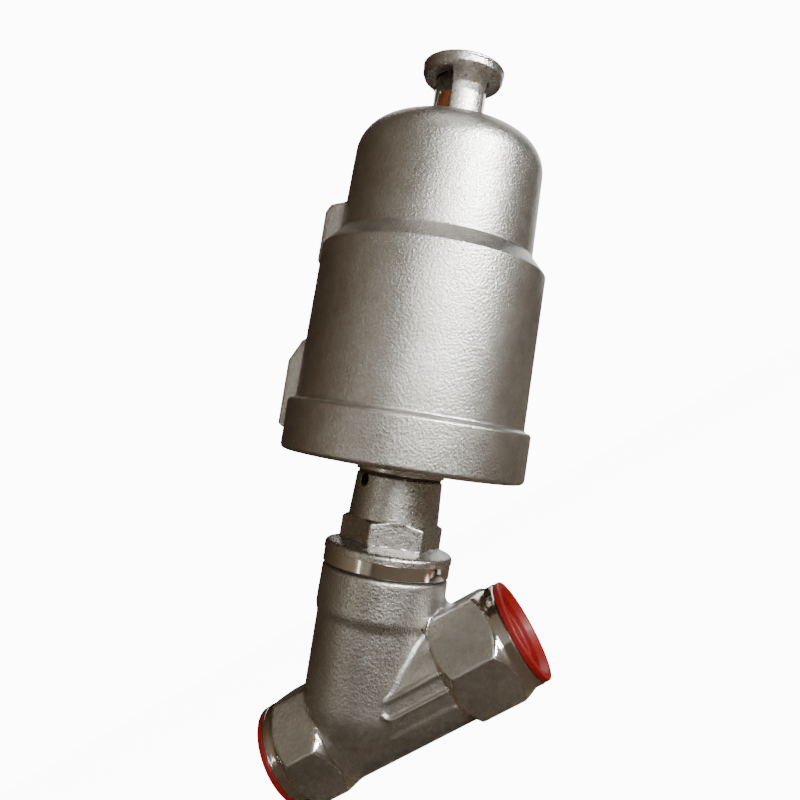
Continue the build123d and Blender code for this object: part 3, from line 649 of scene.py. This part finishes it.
def polished_steel(name, choices, axle):
    """Polished ring: mirror bright with faint hairlines and smudges."""
    finish = Finish(name, metallic=1.0)
    rings = finish.node("ShaderNodeCombineXYZ", {}, finish.along(axle)).signal(0)
    hair = finish.noise(9000.0, detail=2.0, place=rings)
    smudge = finish.noise(240.0, detail=3.0, distortion=0.4)
    steel = tuple(min(1.0, 1.18 * value) for value in choices.turned_steel)
    base = finish.mix(smudge * 0.35, steel, (0.46, 0.40, 0.31))
    rough = hair * 0.07 + smudge * 0.07 + 0.06
    normal = finish.relief(hair, 0.00002, 0.25)
    return finish.end(Base_Color=base, Roughness=rough, Normal=normal)


def moulded_plastic(name, tone, rough=0.34, coat=0.25, grain=700.0, shade=0.55):
    """Moulded plastic: near-even colour, faint flow marks and a fine texture."""
    finish = Finish(name, coat_roughness=0.18, specular_ior_level=0.28)
    flow = finish.noise(90.0, detail=1.0)
    fine = finish.noise(grain * 2.2, detail=2.0)
    dark = tuple(shade * value for value in tone)
    base = finish.mix((flow - 0.25).limited() * 0.5, tuple(tone), dark)
    roughness = (fine - 0.5) * 0.12 + (flow - 0.5) * 0.1 + rough
    finish.shader.inputs["Coat Weight"].default_value = coat
    normal = finish.relief(fine, 0.00005, 0.25)
    return finish.end(Base_Color=base, Roughness=roughness, Normal=normal)


def seal_rubber(name):
    """Moulded seal rubber: black, dull, with dusty bloom in patches."""
    finish = Finish(name, specular_ior_level=0.35)
    bloom = finish.noise(420.0, detail=4.0)
    fine = finish.noise(2600.0, detail=2.0)
    base = finish.mix((bloom - 0.42).limited() * 1.4, (0.012, 0.012, 0.013), (0.055, 0.053, 0.05))
    rough = (bloom - 0.5) * 0.25 + (fine - 0.5) * 0.1 + 0.58
    return finish.end(Base_Color=base, Roughness=rough, Normal=finish.relief(fine, 0.00008, 0.3))


def drawn_wire(name):
    """Drawn spring wire: dark bluish steel with die lines."""
    finish = Finish(name, metallic=1.0)
    cloud = finish.noise(160.0, detail=3.0)
    lines = finish.noise(3800.0, detail=2.0)
    base = finish.mix(cloud, (0.30, 0.31, 0.33), (0.17, 0.165, 0.16))
    rough = (lines - 0.5) * 0.18 + (cloud - 0.5) * 0.1 + 0.34
    return finish.end(Base_Color=base, Roughness=rough, Normal=finish.relief(lines, 0.00004, 0.3))


def packing_white(name):
    """Fluoropolymer: milky white with faint tool rings."""
    finish = Finish(name, subsurface_weight=0.08, specular_ior_level=0.45)
    rings = finish.noise(2400.0, detail=2.0)
    cloud = finish.noise(200.0, detail=3.0)
    base = finish.mix(cloud, (0.82, 0.81, 0.78), (0.70, 0.69, 0.65))
    rough = (rings - 0.5) * 0.12 + 0.42
    return finish.end(Base_Color=base, Roughness=rough, Normal=finish.relief(rings, 0.00004, 0.2))


def gasket_fibre(name):
    """Pressed fibre gasket: grey with short fibres."""
    finish = Finish(name, specular_ior_level=0.3)
    fibre = finish.noise(1900.0, detail=5.0, roughness=0.7)
    cloud = finish.noise(240.0, detail=2.0)
    base = finish.mix(fibre, (0.045, 0.04, 0.035), (0.13, 0.12, 0.105))
    rough = (cloud - 0.5) * 0.2 + 0.72
    return finish.end(Base_Color=base, Roughness=rough, Normal=finish.relief(fibre, 0.0001, 0.5))


def clear_plastic(name):
    """Clear moulded tube with faint haze."""
    finish = Finish(name, transmission_weight=1.0, ior=1.47, specular_ior_level=0.6)
    haze = finish.noise(300.0, detail=3.0, distortion=0.5)
    base = finish.mix(haze, (0.96, 0.95, 0.93), (0.88, 0.86, 0.82))
    rough = (haze - 0.4).limited() * 0.16 + 0.03
    return finish.end(Base_Color=base, Roughness=rough, Normal=finish.relief(haze, 0.00005, 0.2))


def black_oxide(name):
    """Blackened screw: dark, with worn bright spots."""
    finish = Finish(name, metallic=0.9)
    wear = finish.noise(1400.0, detail=4.0)
    base = finish.mix(((wear - 0.56) * 5.0).limited(), (0.012, 0.012, 0.013), (0.20, 0.19, 0.18))
    rough = (wear - 0.5) * 0.3 + 0.36
    return finish.end(Base_Color=base, Roughness=rough, Normal=finish.relief(wear, 0.00006, 0.4))


finishes = {}
finish_by_slot = {
    "cast_steel": "body_steel", "machined_steel": "stem_turned", "spring_steel": "spring_wire",
    "piston_metal": "piston_metal", "dark_screw": "black_oxide", "grey_gasket": "gasket_fibre",
    "guide_plastic": "bearing_plastic", "white_packing": "packing_white",
    "black_rubber": "seal_rubber", "red_cap": "cap_red",
    "indicator_orange": "indicator_orange", "clear_sleeve": "clear_plastic",
}
hexagon_lengths = {"inlet": 0.0200, "outlet": 0.0255}


class VALVE_OT_finishes(bpy.types.Operator):
    """Make the finishes and put them on the CAD nodes that stay in view"""

    bl_idname = "valve.finishes"
    bl_label = "Make the finishes"

    def execute(self, context):
        choices = context.scene.valve_finish
        face = context.scene.valve_body.lead_in_depth
        finishes["body_steel"] = blasted_steel("body_steel", choices, drift=70.0, ends=(
            (INLET, face, hexagon_lengths["inlet"]), (OUTLET, face, hexagon_lengths["outlet"]),
        ))
        finishes["actuator_steel"] = blasted_steel("actuator_steel", choices, drift=42.0)
        finishes["bonnet_steel"] = blasted_steel("bonnet_steel", choices, drift=110.0, dull=-0.05)
        finishes["stem_turned"] = turned_steel("stem_turned", choices, STEM)
        finishes["port_turned"] = turned_steel("port_turned", choices, INLET, rough=0.13)
        finishes["air_port_turned"] = turned_steel(
            "air_port_turned", choices, port_axle("air_port_upper")
        )
        finishes["polished_ring"] = polished_steel("polished_ring", choices, STEM)
        finishes["piston_metal"] = turned_steel(
            "piston_metal", choices, STEM, tone=(0.72, 0.72, 0.73), rough=0.3
        )
        finishes["spring_wire"] = drawn_wire("spring_wire")
        finishes["black_oxide"] = black_oxide("black_oxide")
        finishes["seal_rubber"] = seal_rubber("seal_rubber")
        finishes["packing_white"] = packing_white("packing_white")
        finishes["gasket_fibre"] = gasket_fibre("gasket_fibre")
        finishes["bearing_plastic"] = moulded_plastic(
            "bearing_plastic", (0.10, 0.075, 0.055), rough=0.5, coat=0.0
        )
        finishes["cap_red"] = moulded_plastic("cap_red", tuple(choices.cap_red), rough=0.50, coat=0.03)
        finishes["indicator_orange"] = moulded_plastic(
            "indicator_orange", tuple(choices.indicator_orange), rough=0.35, coat=0.2
        )
        finishes["clear_plastic"] = clear_plastic("clear_plastic")
        for part in frame["record"]["subparts"]:
            for holder in frame["nodes"][part["node"]].material_slots:
                holder.material = finishes[finish_by_slot[part["material_slot"]]]
        return {"FINISHED"}


# ---- Valve casting --------------------------------------------------------------------------
def thread_sleeve(name, axle, radius, depth, deep, top, pitch, wall, turns=120):
    """Threaded bore: its wall stands in from the groove's root by a rounded ridge that climbs.

    The ridge's height is half of one plus the cosine of the level over the pitch less the turn,
    so that it rises by one pitch a turn, and it fades out over the last pitch at each end.
    """
    turn = np.linspace(0, 2 * math.pi, turns, endpoint=False)[None, :]
    level = np.arange(top, deep, -pitch / 10)[:, None]
    wave = 0.5 + 0.5 * np.cos(2 * math.pi * level / pitch - turn)
    fade = np.clip(np.minimum(top - level, level - deep) / pitch, 0, 1)
    inner = radius + depth * (1 - np.clip(1.25 * wave, 0, 1) * fade)
    outer = radius + depth + wall
    around = np.ones_like(turn)
    rows = np.vstack((outer * around, outer * around, inner, (radius + depth) * around))
    levels = np.vstack(([[deep]], [[top]], level, [[deep]])) * around
    return piece_from_grid(name, axle.place(rows, turn, levels), closed_rows=True)


class VALVE_OT_valve_casting(bpy.types.Operator):
    """Make the Y casting, its threads and its turned mouths"""

    bl_idname = "valve.valve_casting"
    bl_label = "Make the valve casting"

    def execute(self, context):
        sizes = context.scene.valve_body
        root = sizes.thread_radius + sizes.thread_depth
        near_wall = 2e-5
        proud = 0.00002       # how far the turned lip stands in front of the casting
        broken_edge = 0.0005

        def widened(places):
            """Move the thread core's wall out to the root of the thread."""
            away = np.hypot(places[:, 1], places[:, 2])
            on_wall = np.abs(away - sizes.thread_radius) < near_wall
            scale = np.where(on_wall, root / np.maximum(away, 1e-9), 1.0)
            return places * np.stack((np.ones_like(scale), scale, scale), axis=1)

        casting = casting_copy("valve_body", "valve_casting", sizes.evenness, 3, widened)
        dress(casting, "valve", "cast_steel", finishes["body_steel"], "valve_body")
        for name, axle in (("inlet", INLET), ("outlet", OUTLET)):
            thread = thread_sleeve(
                name + "_thread", axle, sizes.thread_radius, sizes.thread_depth,
                -sizes.thread_length, 0.0, sizes.thread_pitch, 0.0003,
            )
            dress(thread, "valve", "machined_steel", finishes["port_turned"])
            face = sizes.lead_in_depth + proud
            lip, relief = sizes.lip_radius, sizes.lead_in_radius
            mouth = turned_piece(name + "_mouth", axle, np.array([
                (relief, -0.0002), (relief, face - 0.0004), (relief + 0.0004, face),
                (lip - broken_edge, face), (lip + proud, face - broken_edge),
                (lip + proud, face - 0.0011), (lip - 0.0012, face - 0.0016),
                (relief + 0.0012, -0.0002),
            ]), closed_rows=True, sharp=25.0)
            dress(mouth, "valve", "machined_steel", finishes["port_turned"])
        return {"FINISHED"}


# ---- Bonnet ---------------------------------------------------------------------------------
class VALVE_OT_bonnet(bpy.types.Operator):
    """Make the bonnet's casting, its polished ring and the gasket under it"""

    bl_idname = "valve.bonnet"
    bl_label = "Make the bonnet"

    def execute(self, context):
        sizes = context.scene.valve_bonnet
        low, foot = STEM.levels("bonnet_gasket")
        top = STEM.levels("neck_washer")[0]
        radius, inside = sizes.ring_radius, 0.018
        gasket_inside, gasket_outside = 0.0217, 0.0243
        ring_top = foot + sizes.ring_height
        seam = ring_top + 0.0001
        ring = turned_piece("bonnet_polished_ring", STEM, np.vstack((
            [(inside, foot)],
            rounded([
                (inside + 0.001, foot), (radius, foot, 0.0004), (radius, ring_top, 0.0003),
                (inside + 0.001, seam),
            ], steps=5),
            [(inside, seam)],
        )), turns=240, closed_rows=True)
        dress(ring, "valve", "machined_steel", finishes["polished_ring"])
        gasket = turned_piece("gasket_ring", STEM, rounded([
            (gasket_inside, low), (gasket_outside, low, 0.0002), (gasket_outside, foot, 0.0002),
            (gasket_inside, foot),
        ], steps=3), closed_rows=True)
        dress(gasket, "valve", "grey_gasket", finishes["gasket_fibre"], "bonnet_gasket")
        self.make_casting(sizes, ring_top, top)
        return {"FINISHED"}

    def make_casting(self, sizes, low, top):
        """Shoulder, hexagon and neck as one surface.

        The radius at a turn and level is the largest of the shoulder's, the hexagon's and the
        neck's, with the corners between them rounded. The hexagon's is half its flats over a
        power mean of the cosines to its six sides, which rounds its corners a little.
        """
        shoulder_height = 0.0046
        row_step = 0.00028
        corner_power = 90
        hexagon_low = low + shoulder_height
        hexagon_high = hexagon_low + sizes.hexagon_height
        level = np.concatenate((
            np.arange(low, hexagon_high + 0.0018, row_step),
            np.linspace(hexagon_high + 0.0020, top - 0.0008, 14),
        ))[:, None]
        turn = np.linspace(0, 2 * math.pi, 300, endpoint=False)[None, :]
        sides = (math.radians(30) + math.radians(60) * np.arange(6))[:, None, None]
        facing = np.maximum(np.cos(turn - sizes.hexagon_turn - sides), 0)
        wrench = sizes.hexagon_flats / 2 / (facing ** corner_power).sum(axis=0) ** (1 / corner_power)
        shape = rounded([
            (sizes.shoulder_radius, low), (sizes.shoulder_radius, low + 0.0028, 0.0026),
            (0.0205, hexagon_low, 0.002), (0.0120, low + 0.0062),
        ], steps=10)
        shoulder = np.interp(level, shape[:, 1], shape[:, 0])
        crown = np.interp(
            level, (hexagon_high - 0.0016, hexagon_high - 0.0002, hexagon_high + 0.0006),
            (0.0216, 0.0189, 0.0150),
        )
        neck = np.interp(
            level, (hexagon_high - 0.001, hexagon_high, top),
            (0.0165, sizes.neck_foot_radius, sizes.neck_top_radius),
        )
        radius = smooth_most(shoulder, smooth_least(wrench, crown, 0.0009), 0.0009)
        radius = smooth_most(radius, neck, 0.0007)
        around = np.ones_like(turn)
        rim = sizes.neck_top_radius - 0.0008
        radius = np.vstack((0.0 * around, radius, rim * around, 0.0 * around))
        level = np.vstack(([[low]], level, [[top], [top]])) * around
        piece = piece_from_grid("bonnet_casting", STEM.place(radius, turn, level))
        screw_level = sum(STEM.levels("set_screw")) / 2
        side = STEM.place(1.0, np.array(sizes.screw_turn), np.array(0.0)) - STEM.origin
        centre = STEM.origin + STEM.third * screw_level + side * sizes.neck_top_radius
        hole = Axle(centre, side, STEM.third)
        bored(piece, hole, sizes.screw_radius, -0.0046, 0.004, 0.0002)
        dress(piece, "valve", "cast_steel", finishes["bonnet_steel"], "bonnet")


# ---- Actuator -------------------------------------------------------------------------------
def boss_radius(face_by_level, width, turn, level):
    """Radius at which a square boss on the first axis ends.

    Along a turn the boss ends at its face over the cosine or at its side over the sine, whichever
    is nearer, with the upright edges rounded. The face's distance follows from the level.
    """
    levels, faces = zip(*face_by_level)
    face = np.interp(level, levels, faces, left=0.0, right=0.0)
    front = face / np.maximum(np.cos(turn), 0.05)
    side = width / 2 / np.maximum(np.abs(np.sin(turn)), 1e-4)
    near = smooth_least(front, side, 0.0035)
    return np.where(np.cos(turn) > 0.5, near, 0.0)


class VALVE_OT_actuator(bpy.types.Operator):
    """Make the actuator's casting with its two port bosses, and the foot cover"""

    bl_idname = "valve.actuator"
    bl_label = "Make the actuator"

    def execute(self, context):
        sizes = context.scene.valve_actuator
        low = STEM.levels("actuator_cylinder")[0]
        self.make_casting(sizes, low)
        self.make_cover(sizes, low)
        return {"FINISHED"}

    def make_casting(self, sizes, low):
        """Turned outline with a boss drawn out of it on one side, and the bores inside."""
        band_top = low + sizes.band_height
        cone_low = band_top + sizes.cylinder_height
        cone_top = cone_low + sizes.cone_height
        dome_low = cone_top + sizes.upper_height
        edge_radius = sizes.dome_radius - sizes.dome_corner * (1 - math.sin(sizes.dome_rise))
        edge_level = dome_low + sizes.dome_corner * math.cos(sizes.dome_rise)
        slope = math.tan(sizes.dome_rise)
        seat = STEM.levels("actuator_cylinder")[1]
        outer = rounded([
            (sizes.cover_radius + 0.0001, low), (sizes.band_radius, low, 0.0048),
            (sizes.band_radius - 0.0001, band_top, 0.0022),
            (sizes.foot_radius, band_top + 0.0006, 0.0014),
            (sizes.top_radius, cone_low, 0.0012), (sizes.cone_radius, cone_top, 0.0018),
            (sizes.dome_radius, edge_level + (edge_radius - sizes.dome_radius) * slope,
             sizes.dome_corner),
            (0.0145, edge_level + (edge_radius - 0.0145) * slope, 0.0004), (0.0141, seat),
        ], steps=12)
        outer = resampled(outer, 0.0007, low + 0.0062, low + 0.0470)
        outer = resampled(outer, 0.0007, cone_top - 0.0165, cone_top + 0.0145)
        socket, rod, hub, ceiling = 0.01225, 0.00305, 0.0153, 0.0299
        spring_room, piston_room, cover_room = 0.0340, 0.0400, 0.0436
        inner = np.array([
            (socket, seat), (socket, seat - 0.0065), (rod, seat - 0.0065), (rod, seat - 0.016),
            (hub, seat - 0.016), (hub, seat - 0.0102), (ceiling, seat - 0.0102),
            (spring_room, seat - 0.016), (spring_room, cone_top - 0.003),
            (piston_room, cone_low - 0.002), (piston_room, low + 0.0171),
            (cover_room, low + 0.0171), (cover_room, low + 0.0136),
            (sizes.cover_radius + 0.0001, low + 0.0136),
        ])
        degrees = np.concatenate((
            np.arange(-9.0, 9.0, 1.0), np.arange(9.0, 18.0, 0.3), np.arange(18.0, 342.0, 2.25),
            np.arange(342.0, 351.0, 0.3),
        ))
        turn = np.radians(degrees)[None, :]
        radius, level = outer[:, :1], outer[:, 1:]
        inside, face = 0.030, sizes.lower_boss_face
        lower = boss_radius((
            (low + 0.0070, inside), (low + 0.0074, 0.046), (low + 0.0084, face - 0.0006),
            (low + 0.0096, face), (low + 0.0355, face), (low + 0.0446, face - 0.0048),
            (low + 0.0456, face - 0.0075), (low + 0.0460, inside),
        ), sizes.boss_width, turn, level)
        face = sizes.upper_boss_face
        upper = boss_radius((
            (cone_top - 0.0140, inside), (cone_top - 0.0136, 0.045), (cone_top - 0.0120, face),
            (cone_top + 0.0085, face), (cone_top + 0.0118, face - 0.0020),
            (cone_top + 0.0130, 0.0395), (cone_top + 0.0136, inside),
        ), sizes.boss_width, turn, level)
        radius = smooth_most(smooth_most(radius + 0 * turn, lower, 0.0022), upper, 0.0022)
        rows = np.vstack((radius, inner[:, :1] + 0 * turn))
        levels = np.vstack((level + 0 * turn, inner[:, 1:] + 0 * turn))
        piece = piece_from_grid("actuator_casting", STEM.place(rows, turn, levels), closed_rows=True)
        air_thread_depth, air_thread_pitch = 0.00058, 0.000907
        for name in ("air_port_lower", "air_port_upper"):
            axle = port_axle(name)
            depth = mount_named(name)["dims"]["length_mm"] * 0.001
            core = mount_named(name)["dims"]["r_mm"] * 0.001
            bored(piece, axle, core + air_thread_depth + 0.00004, -depth, 0.005, 0.0003)
            thread = thread_sleeve(
                name + "_thread", axle, core, air_thread_depth, -depth, -0.0005,
                air_thread_pitch, 0.0002, turns=72,
            )
            dress(thread, "actuator", "machined_steel", finishes["air_port_turned"])
        dress(piece, "actuator", "cast_steel", finishes["actuator_steel"], "actuator_cylinder")

    def make_cover(self, sizes, low):
        """Screwed foot cover with its neck boss and spanner holes."""
        foot = STEM.levels("base_cover")[0]
        rim = sizes.cover_radius
        bore, boss, holes_at, hole = 0.01405, 0.0179, 0.0315, 0.0025
        cover = turned_piece("foot_cover", STEM, rounded([
            (bore, foot), (boss, foot, 0.0003), (boss, low - 0.0007, 0.0020),
            (rim - 0.0035, low), (rim, low, 0.0003), (rim, low + 0.0135), (rim - 0.004, low + 0.0135),
            (rim - 0.005, low + 0.0048, 0.0015), (0.021, low + 0.0048, 0.0015), (0.020, foot + 0.0112),
            (bore, foot + 0.0112),
        ], steps=6), turns=200, closed_rows=True)
        for number in range(sizes.spanner_holes):
            turn = np.array(2 * math.pi * (number + 0.5) / sizes.spanner_holes)
            centre = STEM.place(holes_at, turn, np.array(low - 0.0003))
            bored(cover, Axle(centre, -STEM.third, STEM.first), hole, -0.0032, 0.003, 0.0002)
        dress(cover, "actuator", "machined_steel", finishes["stem_turned"], "base_cover")


class VALVE_OT_springs(bpy.types.Operator):
    """Make the two coils that the piston closes up as the stem lifts, as fixed copies of the CAD springs"""

    bl_idname = "valve.springs"
    bl_label = "Make the springs"

    def execute(self, context):
        for node in ("outer_spring", "inner_spring"):
            low, high = STEM.levels(node)
            coil = finished_piece(node + "_coil", frame["nodes"][node].data.copy(), 40.0)
            dress(coil, "actuator", "spring_steel", finishes["spring_wire"], node)
            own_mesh(coil)
        return {"FINISHED"}


# ---- Position indicator ---------------------------------------------------------------------
class VALVE_OT_indicator(bpy.types.Operator):
    """Make the guard, the clear sleeve in it and the coloured indicator"""

    bl_idname = "valve.indicator"
    bl_label = "Make the position indicator"

    def execute(self, context):
        sizes = context.scene.valve_actuator
        guard = casting_copy("indicator_guard", "guard_casting", 0.00034, 3)
        self.fill_head(guard, sizes.sleeve_radius + 0.00005)
        dress(guard, "actuator", "cast_steel", finishes["bonnet_steel"], "indicator_guard")
        low, top = STEM.levels("indicator_sleeve")
        radius, wall = sizes.sleeve_radius, sizes.sleeve_wall
        sleeve = turned_piece("clear_sleeve", STEM, np.vstack((
            rounded([(radius - wall, low), (radius, low, 0.0003), (radius, top, 0.004), (0.0, top)]),
            rounded([(0.0, top - wall), (radius - wall, top - wall, 0.003), (radius - wall, low)]),
        )), turns=128, closed_rows=True)
        dress(sleeve, "actuator", "clear_sleeve", finishes["clear_plastic"], "indicator_sleeve")
        low, top = STEM.levels("indicator_cap")
        plug = turned_piece("indicator_plug", STEM, rounded([
            (0.0, low), (sizes.plug_radius, low, 0.0003), (sizes.plug_radius, top, 0.0014), (0.0, top),
        ]), turns=96)
        dress(plug, "stem", "indicator_orange", finishes["indicator_orange"], "indicator_cap")
        return {"FINISHED"}

    def fill_head(self, guard, bore):
        """Round the trumpet out into a fuller rim; bore is the radius inside the guard.

        Each point outside the bore moves along its radius in one proportion, from the bore to the
        radius that the outside has at its level, so that the window edges stay straight.
        """
        places = np.empty(3 * len(guard.data.vertices))
        guard.data.vertices.foreach_get("co", places)
        offset = places.reshape(-1, 3) - STEM.origin
        level = offset @ STEM.third
        across = offset - level[:, None] * STEM.third
        away = np.linalg.norm(across, axis=1)
        drop = level.max() - level
        step = 0.00025
        row = np.round(drop / step).astype(int)
        outside = np.zeros(row.max() + 1)
        np.maximum.at(outside, row, away)
        outside = np.interp(drop, step * np.arange(len(outside)), outside)
        trumpet = 0.0135
        fuller = np.interp(
            drop, (0.0, 0.0006, 0.0016, 0.0040, 0.0058, 0.0078, 0.0105, trumpet),
            (0.0148, 0.0160, 0.0168, 0.0168, 0.0159, 0.0146, 0.0131, 0.0123),
        )
        moved = bore + (away - bore) * (fuller - bore) / np.maximum(outside - bore, 1e-4)
        moved = np.where((away > bore) & (drop < trumpet), np.maximum(moved, away), away)
        offset += across * (moved / np.maximum(away, 1e-9) - 1)[:, None]
        guard.data.vertices.foreach_set("co", (offset + STEM.origin).ravel())
        guard.data.update()


# ---- Caps -----------------------------------------------------------------------------------
class VALVE_OT_caps(bpy.types.Operator):
    """Make the plastic caps in the pipe ports"""

    bl_idname = "valve.caps"
    bl_label = "Make the caps"

    def execute(self, context):
        sizes = context.scene.valve_caps
        face = context.scene.valve_body.lead_in_depth
        spigot = context.scene.valve_body.lead_in_radius - 0.0001
        top = face + sizes.flange_height
        floor = top - sizes.dish_depth
        dish = sizes.dish_radius
        spigot_end = face - 0.0039
        for node, axle in (("inlet_cap", INLET), ("outlet_cap", OUTLET)):
            outline = rounded([
                (0.0, spigot_end), (spigot, spigot_end, 0.0009), (spigot, face + 0.00005),
                (sizes.flange_radius, face + 0.00005, 0.0004), (sizes.flange_radius, top, 0.0007),
                (dish, top, 0.0006), (spigot - 0.0012, face, 0.0014), (spigot - 0.0015, floor, 0.0012),
                (0.0011, floor, 0.0002), (0.0009, floor + 0.0004, 0.0002), (0.0, floor + 0.0004),
            ], steps=6)
            piece = turned_piece("red_" + node, axle, outline, turns=200, sharp=50.0)
            dress(piece, node, "red_cap", finishes["cap_red"], node)
        return {"FINISHED"}


# ---- Stage ----------------------------------------------------------------------------------
white_level = 12.0    # brightness at which the background shows as plain white


class VALVE_OT_stage(bpy.types.Operator):
    """Set up the floor, the soft light and the camera"""

    bl_idname = "valve.stage"
    bl_label = "Set up the stage"

    def execute(self, context):
        choices = context.scene.valve_stage
        place = Vector(choices.camera_place)
        turn = Euler(choices.camera_turn)
        data = bpy.data.cameras.new("view")
        data.lens = choices.focal_length
        data.sensor_width = 36.0
        data.clip_start = 0.01
        camera = bpy.data.objects.new("view", data)
        camera.location = place
        camera.rotation_euler = turn
        context.scene.collection.objects.link(camera)
        context.scene.camera = camera
        self.make_floor(choices)
        axes = turn.to_matrix()
        middle = Vector((np.array(cad_box[0]) + np.array(cad_box[1])) / 2)
        # Each lamp stands one metre off, so many degrees round and up from the camera.
        for name, azimuth, rise, wide, high, watts, tone in (
            ("front", 14.0, -4.0, 0.44, 1.50, 27.0, (1.0, 0.99, 0.97)),
            ("key", 45.0, -4.0, 0.32, 1.50, 190.0, (0.98, 1.0, 1.0)),
            ("slim", -48.0, 0.0, 0.03, 0.50, 0.35, (1.0, 0.94, 0.84)),
            ("edge", 110.0, 6.0, 0.06, 0.80, 0.35, (1.0, 0.99, 0.96)),
            ("top", 20.0, 72.0, 0.50, 0.40, 1.4, (1.0, 0.98, 0.95)),
            ("back", 165.0, 32.0, 0.80, 0.80, 5.0, (1.0, 0.98, 0.95)),
        ):
            azimuth, rise = math.radians(azimuth), math.radians(rise)
            offset = axes @ Vector((
                math.sin(azimuth) * math.cos(rise), math.sin(rise), math.cos(azimuth) * math.cos(rise),
            ))
            lamp = bpy.data.lights.new(name, "AREA")
            lamp.shape = "RECTANGLE"
            lamp.size, lamp.size_y = wide, high
            lamp.energy = watts * choices.lamp_share
            lamp.color = tone
            box = bpy.data.objects.new(name, lamp)
            box.matrix_world = self.facing(middle + offset, middle, axes.col[1])
            context.scene.collection.objects.link(box)
        self.make_surroundings(context, axes)
        return {"FINISHED"}

    def facing(self, place, target, upright):
        """Matrix of a lamp at a place that shines at a target, its height along upright."""
        back = (place - target).normalized()
        across = Vector(upright).cross(back).normalized()
        up = back.cross(across)
        matrix = Matrix((across, up, back)).transposed().to_4x4()
        matrix.translation = place
        return matrix

    def make_floor(self, choices):
        """Round pale floor under the object."""
        ring = np.linspace(0, 2 * math.pi, 96, endpoint=False)[None, :]
        reach = np.array([[0.0], [0.3], [1.0], [3.0], [8.0]])
        gap = 0.0004
        floor_axle = Axle((0.1, 0.0, cad_box[0][2] - gap), (0, 0, 1), (1, 0, 0))
        floor = piece_from_grid("floor", floor_axle.place(reach, ring, 0 * reach))
        finish = Finish("floor_pale", roughness=0.7, specular_ior_level=0.1)
        cloud = finish.noise(3.0)
        tone = tuple(choices.floor_colour)
        seen = finish.node("ShaderNodeLightPath", {}).signal("Is Camera Ray")
        base = finish.mix(cloud, tone, tuple(0.98 * value for value in tone))
        base = finish.mix(seen, (0.20, 0.16, 0.12), base)
        glow = finish.mix(seen, (0.0, 0.0, 0.0), (1.0, 1.0, 1.0))
        finish.shader.inputs["Emission Strength"].default_value = white_level - 1.0
        floor.data.materials.append(finish.end(Base_Color=base, Emission_Color=glow))

    def make_surroundings(self, context, axes):
        """Plain white to the camera; to the object a studio, light in front and dark on the right."""
        world = bpy.data.worlds.new("studio")
        context.scene.world = world
        world.use_nodes = True
        sketch = Sketch(world.node_tree)
        direction = sketch.node("ShaderNodeTexCoord", {}).signal("Generated")

        def along(axis):
            return sketch.node(
                "ShaderNodeVectorMath", {"operation": "DOT_PRODUCT"}, direction, tuple(axis)
            ).signal("Value")

        front = along(axes.col[2]) * 0.5 + 0.5
        right = (along(axes.col[0]) * 1.8 + 0.5).limited()
        left_tone = sketch.ramp(
            front, (0.0, (0.016, 0.010, 0.005)), (0.45, (0.125, 0.088, 0.054)),
            (0.68, (0.24, 0.195, 0.145)), (0.82, (0.28, 0.25, 0.205)), (1.0, (0.46, 0.44, 0.40))
        )
        right_tone = sketch.ramp(
            front, (0.0, (0.003, 0.002, 0.001)), (0.5, (0.010, 0.007, 0.004)),
            (0.80, (0.12, 0.11, 0.09)),
            (1.0, (0.46, 0.44, 0.40))
        )
        around = sketch.mix(right, left_tone, right_tone)
        above = (along(axes.col[1]) * 1.4 + 1.0).limited()
        around = sketch.mix(above, (0.075, 0.058, 0.042), around)
        seen = sketch.node("ShaderNodeLightPath", {}).signal("Is Camera Ray")
        tone = sketch.mix(seen, around, (1.0, 1.0, 1.0))
        strength = seen * (white_level - 1.0) + 1.0
        background = sketch.node("ShaderNodeBackground", {}, tone, strength)
        output = sketch.node("ShaderNodeOutputWorld", {})
        sketch.link(background.signal(0), output.node.inputs[0])


# ---- Panel and registration -----------------------------------------------------------------
operators = (
    VALVE_OT_finishes, VALVE_OT_valve_casting, VALVE_OT_bonnet, VALVE_OT_actuator,
    VALVE_OT_springs, VALVE_OT_indicator, VALVE_OT_caps, VALVE_OT_stage,
)
groups = {
    "valve_body": BodySizes, "valve_bonnet": BonnetSizes, "valve_actuator": ActuatorSizes,
    "valve_caps": CapSizes, "valve_finish": FinishChoices, "valve_stage": StageChoices,
}


class VALVE_PT_panel(bpy.types.Panel):
    """Sizes, finishes and the steps that make the valve's pieces"""

    bl_label = "Angle Valve"
    bl_idname = "VALVE_PT_panel"
    bl_space_type = "VIEW_3D"
    bl_region_type = "UI"
    bl_category = "Angle Valve"

    def draw(self, context):
        for operator in operators:
            self.layout.operator(operator.bl_idname)
        for name in groups:
            box = self.layout.box()
            group = getattr(context.scene, name)
            for size in group.bl_rna.properties:
                if not size.is_readonly and size.identifier != "name":
                    box.prop(group, size.identifier)


def register():
    """Make the sizes, the steps and the panel known."""
    for name, group in groups.items():
        bpy.utils.register_class(group)
        setattr(bpy.types.Scene, name, PointerProperty(type=group))
    for operator in operators:
        bpy.utils.register_class(operator)
    bpy.utils.register_class(VALVE_PT_panel)


def unregister():
    """Take the panel, the steps and the sizes away again."""
    bpy.utils.unregister_class(VALVE_PT_panel)
    for operator in reversed(operators):
        bpy.utils.unregister_class(operator)
    for name, group in reversed(groups.items()):
        delattr(bpy.types.Scene, name)
        bpy.utils.unregister_class(group)


def main():
    """Make every piece."""
    register()
    for operator in operators:
        area, step = operator.bl_idname.split(".")
        getattr(getattr(bpy.ops, area), step)()


if __name__ == "__main__":
    main()
